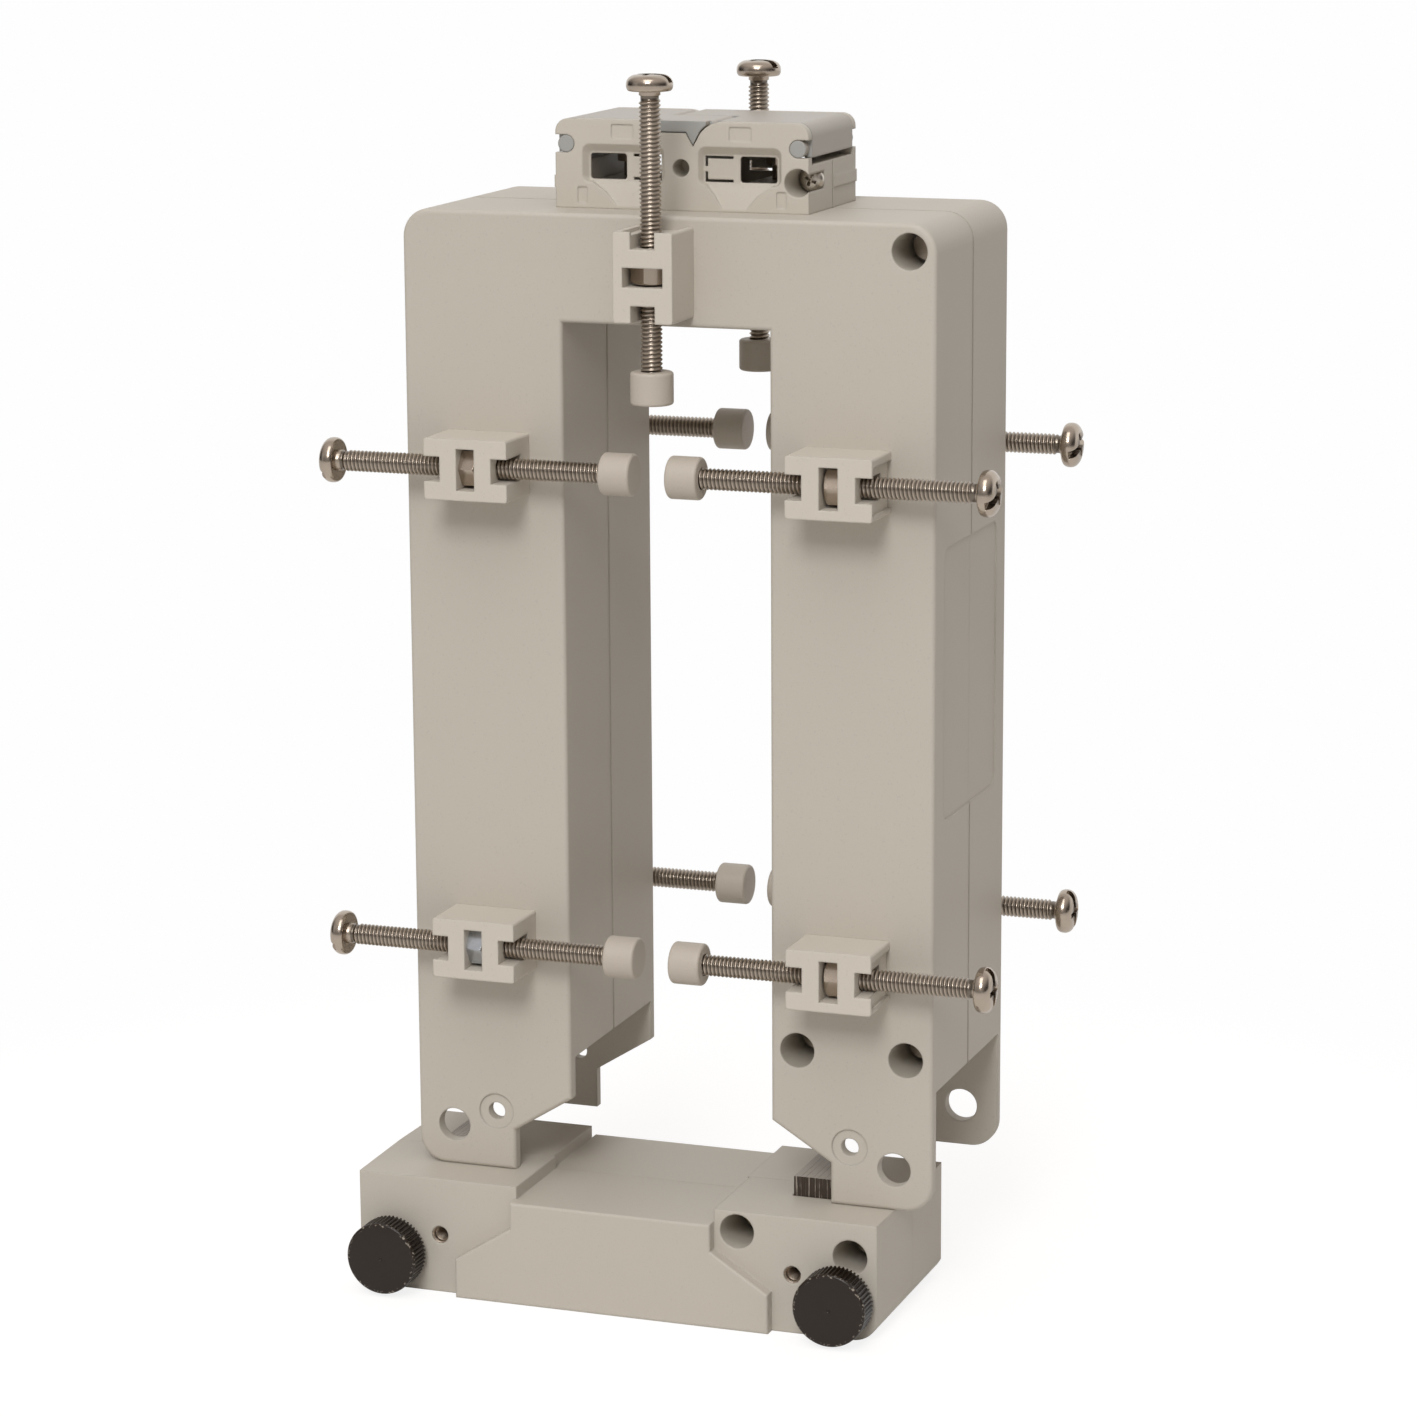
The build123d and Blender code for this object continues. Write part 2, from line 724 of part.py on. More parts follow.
nuts = []
for row in ("front", "rear"):
    for spot, centre, direction, length in clamp_spots:
        seat = clamp_seat(row, centre, direction)
        reach = top_reach[row] if spot == "top" else side_reach[row]
        head_plane = clamp_axis(seat, reach, length)
        save(make_clip(seat), f"clamp_clip_{row}_{spot}")
        save(make_clamp_screw(head_plane, length), f"clamp_screw_{row}_{spot}")
        save(make_cap(head_plane, length), f"tip_cap_{row}_{spot}")
        nuts.append(make_nut(seat))
with BuildPart() as clamp_nuts:
    add(nuts)
save(clamp_nuts.part, "clamp_nuts")

# Terminal block on top, the same seen from the front and, turned round, from the rear

deck = Plane(origin=(frame_x, frame_y, foot_z + frame_height))
terminal_front = Plane(
    origin=(frame_x, frame_y - terminal_depth / 2, foot_z + frame_height), x_dir=(1, 0, 0), z_dir=(0, -1, 0)
)
terminal_rear = Plane(
    origin=(frame_x, frame_y + terminal_depth / 2, foot_z + frame_height), x_dir=(-1, 0, 0), z_dir=(0, 1, 0)
)
half_terminal = terminal_width / 2
pivot_x = half_terminal - pivot_from_side
notch_top = terminal_height - shoulder_drop
chamber_inner = terminal_rib
chamber_outer = wire_slot_outer + chamber_margin
lid_under = terminal_height - lid_thickness
nose_left = nose_from_centre - nose_width / 2
nose_right = nose_from_centre + nose_width / 2
shoulder_end = nose_right + shoulder_length

with BuildSketch() as terminal_face:
    with BuildLine():
        Line((-half_terminal, 0), (-half_terminal, terminal_height - terminal_corner))
        RadiusArc(
            (-half_terminal, terminal_height - terminal_corner),
            (-half_terminal + terminal_corner, terminal_height),
            terminal_corner,
        )
        Polyline(
            (-half_terminal + terminal_corner, terminal_height),
            (nose_left - tab_length, terminal_height),
            (nose_left - tab_length, notch_top),
            (nose_left, notch_top),
            (nose_from_centre, nose_low),
            (nose_right, notch_top),
        )
        RadiusArc((nose_right, notch_top), (shoulder_end, terminal_height), shoulder_radius)
        Line((shoulder_end, terminal_height), (half_terminal - terminal_corner, terminal_height))
        RadiusArc(
            (half_terminal - terminal_corner, terminal_height),
            (half_terminal, terminal_height - terminal_corner),
            terminal_corner,
        )
        Line((half_terminal, terminal_height - terminal_corner), (half_terminal, 0))
        Line((half_terminal, 0), (-half_terminal, 0))
    make_face()

with BuildPart() as terminal_block:
    with BuildSketch(terminal_front):
        add(terminal_face.sketch)
    extrude(amount=-terminal_wall)
    slot_height = wire_slot_high - wire_slot_low
    slot_middle = (wire_slot_low + wire_slot_high) / 2
    open_inner = wire_slot_inner + tab_share_length
    slit_length = tab_share_length * tab_slit_share
    slit_height = (slot_height - tab_bridge) / 2
    surround_inner = wire_slot_inner - surround_inner_margin
    surround_outer = wire_slot_outer + surround_outer_margin
    surround_low = wire_slot_low - surround_below
    surround_high = wire_slot_high + surround_above
    funnel_foot = wire_slot_outer - funnel_foot_inset
    waist_share = (wire_slot_low - funnel_waist_drop - funnel_foot_height) / (
        wire_slot_low - funnel_foot_height
    )
    funnel_sections = [
        (wire_slot_low, wire_slot_inner, wire_slot_outer, surround_depth),
        (
            wire_slot_low - funnel_waist_drop,
            wire_slot_inner + funnel_waist_inner,
            wire_slot_outer - funnel_waist_outer,
            surround_depth * waist_share,
        ),
        (funnel_foot_height, funnel_foot - funnel_foot_width, funnel_foot, funnel_foot_depth),
    ]
    for side in (-1, 1):
        # Surround that narrows towards the entry, and the ramp that leads up to it
        with BuildSketch(terminal_front):
            with Locations(
                (side * (surround_inner + surround_outer) / 2, (surround_low + surround_high) / 2)
            ):
                RectangleRounded(
                    surround_outer - surround_inner, surround_high - surround_low, surround_corner
                )
        with BuildSketch(terminal_front.offset(-surround_depth)):
            with Locations((side * (wire_slot_inner + wire_slot_outer) / 2, slot_middle)):
                RectangleRounded(
                    wire_slot_outer - wire_slot_inner + 2 * surround_floor_margin,
                    slot_height + 2 * surround_floor_margin,
                    surround_floor_corner,
                )
        loft(mode=Mode.SUBTRACT)
        for height, inner_x, outer_x, depth in funnel_sections:
            with BuildSketch(deck.offset(height)):
                with Locations((side * (inner_x + outer_x) / 2, -terminal_depth / 2 - terminal_wall)):
                    Rectangle(outer_x - inner_x, terminal_wall + depth, align=(Align.CENTER, Align.MIN))
        loft(ruled=True, mode=Mode.SUBTRACT)
        # Wire entry with a break-out tab over its inner half
        with BuildSketch(terminal_front):
            with Locations((side * (open_inner + wire_slot_outer) / 2, slot_middle)):
                RectangleRounded(wire_slot_outer - open_inner, slot_height, wire_slot_corner)
            with Locations(
                (side * (wire_slot_inner + tab_slit / 2), wire_slot_high - slit_height / 2),
                (side * (wire_slot_inner + tab_slit / 2), wire_slot_low + slit_height / 2),
            ):
                Rectangle(tab_slit, slit_height)
            with Locations(
                (side * (wire_slot_inner + slit_length / 2), wire_slot_high - tab_slit / 2),
                (side * (wire_slot_inner + slit_length / 2), wire_slot_low + tab_slit / 2),
            ):
                Rectangle(slit_length, tab_slit)
        extrude(amount=-terminal_wall, mode=Mode.SUBTRACT)
        # Shallow blank fields above and beside the entry
        with BuildSketch(terminal_front):
            with Locations((side * upper_mark_from_centre, upper_mark_middle)):
                RectangleRounded(upper_mark_width, upper_mark_height, mark_corner)
            with Locations((side * lower_mark_from_centre, lower_mark_middle)):
                RectangleRounded(lower_mark_width, lower_mark_height, mark_corner)
        extrude(amount=-mark_depth, mode=Mode.SUBTRACT)
    # Open ends for the lid pivots
    for side in (-1, 1):
        with BuildSketch(terminal_front):
            with Locations((side * pivot_x, pivot_height)):
                Circle(pivot_diameter / 2 + pivot_clearance)
            with Locations((side * (pivot_x + half_terminal) / 2, pivot_height)):
                Rectangle(half_terminal - pivot_x, pivot_diameter + 2 * pivot_clearance)
        extrude(amount=-terminal_wall, mode=Mode.SUBTRACT)
    add(terminal_block.part.rotate(turn_axis, 180))
    # Base, side walls and centre rib
    with BuildSketch(deck):
        Rectangle(terminal_width, terminal_depth - 2 * terminal_wall)
    extrude(amount=terminal_floor)
    with BuildSketch(deck):
        Rectangle(terminal_width, terminal_depth - 2 * terminal_wall)
        with Locations((-(chamber_inner + chamber_outer) / 2, 0), ((chamber_inner + chamber_outer) / 2, 0)):
            Rectangle(chamber_outer - chamber_inner, terminal_depth - 2 * terminal_wall, mode=Mode.SUBTRACT)
    extrude(amount=side_wall_top)
    with BuildSketch(deck):
        Rectangle(2 * chamber_inner, terminal_depth - 2 * terminal_wall)
    extrude(amount=lid_under - fit_clearance)
    # Seam down the middle of each side and a low band over one half of it
    with BuildSketch(deck):
        for side in (-1, 1):
            with Locations((side * half_terminal, 0)):
                Rectangle(2 * side_seam_depth, side_seam_width)
    extrude(amount=side_wall_top, mode=Mode.SUBTRACT)
    with BuildSketch(deck.offset(side_band_low)):
        for side in (-1, 1):
            with Locations((side * half_terminal, side * (terminal_depth / 2 + side_seam_width) / 2)):
                Rectangle(2 * side_band_depth, terminal_depth / 2 - side_seam_width)
    extrude(amount=side_band_high - side_band_low)
    # Seal hole between the wire entries and the bore of the side screw
    for end_plane in (terminal_front, terminal_rear):
        with BuildSketch(end_plane):
            with Locations((0, seal_hole_height)):
                Circle(seal_hole_diameter / 2)
        extrude(amount=-seal_hole_depth, mode=Mode.SUBTRACT)
        with BuildSketch(end_plane):
            with Locations((half_terminal - side_bore_from_side, side_bore_height)):
                Circle(side_bore_diameter / 2)
        extrude(amount=-side_bore_depth, mode=Mode.SUBTRACT)
        with BuildSketch(end_plane.offset(-side_bore_depth)):
            with Locations((half_terminal - side_bore_from_side, side_bore_height)):
                Circle(side_screw_diameter / 2)
        extrude(amount=-side_screw_length, mode=Mode.SUBTRACT)
save(terminal_block.part, "terminal_block")

# Lids: a top plate, an outer skirt and two cheeks whose pivots show at the block's ends

with BuildPart() as right_lid:
    inner_depth = terminal_depth - 2 * (terminal_wall + lid_gap)
    with BuildSketch(deck.offset(lid_under)):
        with Locations((lid_reach + lid_gap / 2, -inner_depth / 2)):
            Rectangle(
                half_terminal - lid_reach - lid_gap / 2,
                inner_depth / 2 + lid_gap / 2,
                align=(Align.MIN, Align.MIN),
            )
        with Locations((-lid_reach + lid_gap / 2, lid_gap / 2)):
            Rectangle(
                half_terminal + lid_reach - lid_gap / 2,
                (inner_depth - lid_gap) / 2,
                align=(Align.MIN, Align.MIN),
            )
    extrude(amount=lid_thickness)
    inner_ends = right_lid.edges().filter_by(Axis.Y).group_by(Axis.Z)[-1].sort_by(Axis.X)[:-1]
    fillet(inner_ends, lid_end_round)
    with BuildSketch(deck.offset(lid_skirt_low)):
        with Locations((half_terminal - lid_thickness / 2, 0)):
            Rectangle(lid_thickness, inner_depth)
    extrude(amount=terminal_height - lid_skirt_low)
    outer_edge = right_lid.edges().filter_by(Axis.Y).group_by(Axis.X)[-1].sort_by(Axis.Z)[-1]
    fillet(outer_edge, terminal_corner)
    # Cheeks and pivots
    for end in (-1, 1):
        cheek = Plane(
            origin=(frame_x, frame_y + end * inner_depth / 2, deck.origin.Z), x_dir=(1, 0, 0), z_dir=(0, -1, 0)
        )
        with BuildSketch(cheek):
            with Locations((pivot_x, pivot_height)):
                Circle(pivot_diameter / 2)
            with BuildLine():
                Polyline(
                    (pivot_x - pivot_diameter / 2, pivot_height),
                    (pivot_x - 3 * pivot_diameter / 2, lid_under + lid_thickness / 2),
                    (half_terminal - lid_thickness / 2, lid_under + lid_thickness / 2),
                    (half_terminal - lid_thickness / 2, pivot_height),
                    close=True,
                )
            make_face()
        extrude(amount=end * cheek_thickness)
        with BuildSketch(cheek):
            with Locations((pivot_x, pivot_height)):
                Circle(pivot_diameter / 2)
        extrude(amount=-end * (terminal_wall + lid_gap))
    # Tab and nose over the rear wall's notch, with room at the tab's end for its swing, and
    # the thin part that follows the wall's shoulder
    tab_start = nose_left - tab_length + tab_swing_gap
    with BuildSketch(terminal_rear):
        with BuildLine():
            Polyline(
                (lid_reach - lid_end_round, terminal_height),
                (tab_start, terminal_height),
                (tab_start, notch_top + lid_gap),
                (nose_left + lid_gap / 2, notch_top + lid_gap),
                (nose_from_centre, nose_low + 2 * lid_gap),
                (nose_right - lid_gap, notch_top + lid_gap),
            )
            RadiusArc(
                (nose_right - lid_gap, notch_top + lid_gap),
                (lid_reach - lid_end_round, terminal_height - lid_tip_thickness),
                shoulder_radius,
            )
            Line(
                (lid_reach - lid_end_round, terminal_height - lid_tip_thickness),
                (lid_reach - lid_end_round, terminal_height),
            )
        make_face()
    extrude(amount=-terminal_wall)
    with BuildSketch(terminal_rear.offset(-terminal_wall)):
        with Locations((tab_start, lid_under)):
            Rectangle(
                lid_reach - lid_end_round - tab_start, lid_thickness, align=(Align.MIN, Align.MIN)
            )
    extrude(amount=-(lid_gap + lid_thickness))
save(right_lid.part, "terminal_lid_right")
save(right_lid.part.rotate(turn_axis, 180), "terminal_lid_left")

# Contacts, their screws and the two side screws

for name, side in (("left", -1), ("right", 1)):
    place = (side * contact_from_centre, 0)
    with BuildPart() as contact:
        with BuildSketch(deck.offset(terminal_floor)):
            with Locations(place):
                Rectangle(contact_width, contact_length)
                Circle(terminal_screw_diameter / 2, mode=Mode.SUBTRACT)
        extrude(amount=contact_height)
    save(contact.part, f"terminal_contact_{name}")
    screw_head = deck.offset(terminal_floor + contact_height + terminal_screw_lift)
    with BuildPart() as terminal_screw:
        with BuildSketch(screw_head):
            with Locations(place):
                Circle(terminal_screw_head / 2)
        extrude(amount=terminal_screw_head_height)
        fillet(terminal_screw.edges().filter_by(GeomType.CIRCLE).sort_by(Axis.Z)[-1], small_head_round)
        with BuildSketch(screw_head):
            with Locations(place):
                Circle(terminal_screw_diameter / 2)
        extrude(amount=-(terminal_screw_lift + contact_height))
        with BuildSketch(screw_head.offset(terminal_screw_head_height)):
            with Locations(place):
                Rectangle(small_recess_length, small_recess_width)
                Rectangle(small_recess_width, small_recess_length)
        extrude(amount=-small_recess_depth, mode=Mode.SUBTRACT)
    save(terminal_screw.part, f"terminal_screw_{name}")

with BuildPart() as side_screws:
    side_screw_place = (half_terminal - side_bore_from_side, side_bore_height)
    with BuildSketch(terminal_front.offset(-side_bore_depth)):
        with Locations(side_screw_place):
            Circle(side_screw_head / 2)
    extrude(amount=side_screw_head_height)
    fillet(side_screws.edges().filter_by(GeomType.CIRCLE).sort_by(Axis.Y)[0], small_head_round)
    with BuildSketch(terminal_front.offset(-side_bore_depth + side_screw_head_height)):
        with Locations(side_screw_place):
            Rectangle(side_recess_length, side_recess_width)
            Rectangle(side_recess_width, side_recess_length)
    extrude(amount=-small_recess_depth, mode=Mode.SUBTRACT)
    with BuildSketch(terminal_front.offset(-side_bore_depth)):
        with Locations(side_screw_place):
            Circle(side_screw_diameter / 2)
    extrude(amount=-side_screw_length)
    add(side_screws.part.rotate(turn_axis, 180))
save(side_screws.part, "terminal_side_screws")

# Threaded inserts of the yoke and the two thumb knobs

with BuildPart() as inserts:
    for side in (-1, 1):
        with BuildSketch(yoke_face.offset(-insert_recess)):
            with Locations((side * (half_width - knob_from_edge), knob_from_foot)):
                Circle(insert_diameter / 2)
                Circle(stud_diameter / 2 + stud_clearance, mode=Mode.SUBTRACT)
        extrude(amount=-insert_length)
        with BuildSketch(yoke_face.offset(-insert_recess)):
            with Locations((side * (half_width - lock_from_edge), lock_from_foot)):
                Circle(lock_insert_diameter / 2)
                Circle(lock_thread_diameter / 2, mode=Mode.SUBTRACT)
        extrude(amount=-lock_insert_length)
    add(inserts.part.rotate(yoke_turn_axis, 180))
save(inserts.part, "yoke_inserts")

for name, side in (("left", -1), ("right", 1)):
    knob_back = Plane(
        origin=(side * (half_width - knob_from_edge), -recess_half_depth - knob_gap, knob_from_foot),
        x_dir=(1, 0, 0),
        z_dir=(0, -1, 0),
    )
    with BuildPart() as knob:
        with BuildSketch(knob_back):
            Circle(knob_diameter / 2)
        extrude(amount=knob_thickness)
        chamfer(knob.edges().filter_by(GeomType.CIRCLE), knob_chamfer)
        with BuildSketch(knob_back):
            with PolarLocations(knob_diameter / 2, knob_teeth):
                Rectangle(2 * knob_tooth_depth, 2 * knob_tooth_depth, rotation=45)
        extrude(amount=knob_thickness - 2 * knob_chamfer, mode=Mode.SUBTRACT)
        with BuildSketch(knob_back):
            Circle(stud_diameter / 2)
        extrude(amount=knob_thickness / 2, mode=Mode.SUBTRACT)
    save(knob.part, f"thumb_knob_{name}")
    with BuildPart() as stud:
        with BuildSketch(knob_back.offset(knob_thickness / 2)):
            Circle(stud_diameter / 2)
        extrude(amount=-(knob_thickness / 2 + stud_length))
        chamfer(stud.edges().filter_by(GeomType.CIRCLE).sort_by(Axis.Y)[-1], stud_chamfer)
    save(stud.part, f"thumb_stud_{name}")
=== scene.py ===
"""Threads, finishes and a studio stage for an opened split-core current transformer."""

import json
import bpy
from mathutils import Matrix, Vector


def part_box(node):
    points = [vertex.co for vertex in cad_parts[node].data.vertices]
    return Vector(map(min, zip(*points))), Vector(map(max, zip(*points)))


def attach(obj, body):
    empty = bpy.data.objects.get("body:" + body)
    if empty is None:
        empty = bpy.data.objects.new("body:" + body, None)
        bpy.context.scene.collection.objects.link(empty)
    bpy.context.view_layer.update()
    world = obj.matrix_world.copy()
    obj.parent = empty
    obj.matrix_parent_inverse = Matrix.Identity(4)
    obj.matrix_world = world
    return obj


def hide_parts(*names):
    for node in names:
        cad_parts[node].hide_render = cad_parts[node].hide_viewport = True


bl_info = {
    "name": "Split-core current transformer",
    "version": (1, 0, 0),
    "blender": (4, 5, 0),
    "location": "3D View > Sidebar > Transformer",
    "description": "Dresses an opened split-core current transformer and sets its stage",
    "category": "Object",
}

from math import cos, pi, radians, sin, tan

import bmesh
import bpy
from bpy.props import FloatProperty, FloatVectorProperty, IntProperty, PointerProperty
from mathutils import Matrix, Vector

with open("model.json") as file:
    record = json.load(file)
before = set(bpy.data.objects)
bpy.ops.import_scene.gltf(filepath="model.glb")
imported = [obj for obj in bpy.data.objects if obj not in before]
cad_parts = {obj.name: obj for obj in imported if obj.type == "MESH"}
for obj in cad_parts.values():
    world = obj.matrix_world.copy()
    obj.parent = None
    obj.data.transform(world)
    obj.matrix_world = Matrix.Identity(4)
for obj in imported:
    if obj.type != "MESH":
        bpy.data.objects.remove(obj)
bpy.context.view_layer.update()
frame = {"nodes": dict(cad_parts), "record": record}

MM = 0.001
WHITE = (1.0, 1.0, 1.0, 1.0)
ROWS = ("front", "rear")
SPOTS = ("left_upper", "left_lower", "right_upper", "right_lower", "top")
SIDES = ("left", "right")

# Screw heads: the height, the cross (half length, half width, depth) and the slot's depth
CLAMP_HEAD = (3.8 * MM, (3.2 * MM, 0.66 * MM, 2.6 * MM), 1.9 * MM)
SIDE_HEAD = (2.2 * MM, (1.5 * MM, 0.36 * MM, 1.3 * MM), 0)
# Degrees that each clamp screw's head is turned by, seen from its top
HEAD_TURNS = {
    "front_left_upper": 38,
    "front_left_lower": 30,
    "front_right_upper": -25,
    "front_right_lower": 84,
    "front_top": 4,
    "rear_left_upper": 15,
    "rear_left_lower": 80,
    "rear_right_upper": -20,
    "rear_right_lower": 80,
    "rear_top": 20,
}

# Nuts, a hair smaller than the solids, and how far they sit towards the screw's head
NUT_FLATS = 7.98 * MM
NUT_HEIGHT = 3.98 * MM
NUT_BORE = 2.62 * MM
NUT_SHIFT = 0.2 * MM

# Side screws of the terminal block, and the degrees that their heads are turned by
SIDE_THREAD_RADIUS = 1.5 * MM
SIDE_LENGTH = 11.2 * MM
SIDE_TURN = 25

# Threaded inserts of the yoke: outer radius, bore radius, length, and place along X and Z
INSERTS = {
    "stud": (4.5 * MM, 3.06 * MM, 11 * MM, 55.7 * MM, 9.6 * MM),
    "seal": (3.0 * MM, 1.8 * MM, 7 * MM, 44.1 * MM, 14.1 * MM),
}

# Cores: width of a limb and radius of the window's corners
LIMB = 10.5 * MM
CORE_CORNER = 3.0 * MM

# The room's light: its tint and how bright its parts are
ROOM_TINT = (1.0, 0.945, 0.915)
SIDE_WALLS = 0.15
FRONT_WALL = 1.0
BACK_WALL = 1.5
CEILING = 2.4
# Colour of the floor's paper beside the transformer and far from it; the lighter paper beside it
# is a painted pool of light that throws more light up at the lower parts
PAPER_NEAR = (0.78, 0.765, 0.74)
PAPER_FAR = (0.6, 0.585, 0.565)
FLOOR_REACH = 3.0
# Where the lamps point, and each lamp's name, place, size and share of the main lamp's power
LAMP_TARGET = (0.01, 0.015, 0.14)
LAMPS = (
    ("key_lamp", (0.4, -2.7, 2.1), 1.0, 1.0),
    ("top_lamp", (0.1, -0.9, 1.85), 1.0, 0.14),
    ("side_lamp", (-1.3, -0.9, 0.6), 0.8, 0.01),
)


def slot_colour(slot):
    """Base colour that the packed record gives a material slot."""
    for material in frame["record"]["materials"]:
        if material["slot"] == slot:
            return tuple(material["base_color"])
    raise ValueError(f"the record has no material slot named {slot}")


def clamp_spots():
    """Every clamp's place, such as front_left_upper."""
    return [f"{row}_{spot}" for row in ROWS for spot in SPOTS]


# Shader maths


class Value:
    """A shader socket that can be used in Python expressions."""

    def __init__(self, nodes, socket):
        self.nodes = nodes
        self.socket = socket

    def math(self, operation, *values):
        return self.nodes.add("ShaderNodeMath", {"operation": operation}, dict(enumerate(values)))

    def __add__(self, other):
        return self.math("ADD", self, other)

    def __radd__(self, other):
        return self.math("ADD", other, self)

    def __sub__(self, other):
        return self.math("SUBTRACT", self, other)

    def __rsub__(self, other):
        return self.math("SUBTRACT", other, self)

    def __mul__(self, other):
        return self.math("MULTIPLY", self, other)

    def __rmul__(self, other):
        return self.math("MULTIPLY", other, self)


class Nodes:
    """Adds nodes to a material's or the world's tree."""

    def __init__(self, tree):
        self.tree = tree
        tree.nodes.clear()

    def add(self, kind, settings=None, inputs=None, output=0):
        """A node of this type: its settings first, then its sockets' values and links."""
        node = self.tree.nodes.new(kind)
        for name, value in (settings or {}).items():
            setattr(node, name, value)
        for name, value in (inputs or {}).items():
            if isinstance(value, Value):
                self.tree.links.new(value.socket, node.inputs[name])
            else:
                node.inputs[name].default_value = value
        return Value(self, node.outputs[output]) if len(node.outputs) else None

    def mix(self, factor, low, high):
        """One colour at factor 0, the other at 1."""
        colours = [c if isinstance(c, Value) else (*c, 1.0) for c in (low, high)]
        inputs = {0: factor, 6: colours[0], 7: colours[1]}
        return self.add("ShaderNodeMix", {"data_type": "RGBA"}, inputs, output=2)

    def ramp(self, value, low, high):
        """0 below low, 1 above high, smooth between."""
        settings = {"interpolation_type": "SMOOTHSTEP"}
        inputs = {"Value": value, "From Min": low, "From Max": high}
        return self.add("ShaderNodeMapRange", settings, inputs)

    def place(self):
        """Position in the piece's own frame, in metres."""
        return self.add("ShaderNodeTexCoord", output="Object")

    def axes(self, vector):
        """The three parts of a vector."""
        first = self.add("ShaderNodeSeparateXYZ", None, {0: vector}, output="X")
        node = first.socket.node
        return first, Value(self, node.outputs["Y"]), Value(self, node.outputs["Z"])

    def noise(self, vector, size, detail=2.0, stretch=None):
        """Noise whose grains are about size metres, longer along the axes that stretch lowers."""
        if stretch:
            settings = {"operation": "MULTIPLY"}
            vector = self.add("ShaderNodeVectorMath", settings, {0: vector, 1: stretch})
        inputs = {"Vector": vector, "Scale": 1 / size, "Detail": detail}
        return self.add("ShaderNodeTexNoise", None, inputs, output="Fac")

    def rounded(self, radius):
        """Normal that catches the light along an edge as a small moulding radius does."""
        return self.add("ShaderNodeBevel", {"samples": 6}, {"Radius": radius})

    def bump(self, height, depth, normal=None):
        """Normal of a surface that rises by depth metres where height is 1."""
        inputs = {"Strength": 1.0, "Distance": depth, "Height": height}
        if normal:
            inputs["Normal"] = normal
        return self.add("ShaderNodeBump", None, inputs)

    def rays(self):
        """1 on camera rays, on glossy rays and on transmission rays, as three values."""
        camera = self.add("ShaderNodeLightPath", output="Is Camera Ray")
        outputs = camera.socket.node.outputs
        glossy = Value(self, outputs["Is Glossy Ray"])
        return camera, glossy, Value(self, outputs["Is Transmission Ray"])


def finish(name, paint):
    """A material whose shader sockets come from paint(nodes), made once."""
    if name in bpy.data.materials:
        return bpy.data.materials[name]
    material = bpy.data.materials.new(name)
    material.use_nodes = True
    nodes = Nodes(material.node_tree)
    surface = nodes.add("ShaderNodeBsdfPrincipled", None, paint(nodes))
    nodes.add("ShaderNodeOutputMaterial", None, {"Surface": surface})
    return material


def shade(colour, factor):
    """A colour made lighter or darker by a factor."""
    return tuple(part * factor for part in colour)


# Mesh making

# Angle in degrees above which an edge stays sharp, and the distance that welds two points
SHARP = 32
WELD = 0.002 * MM


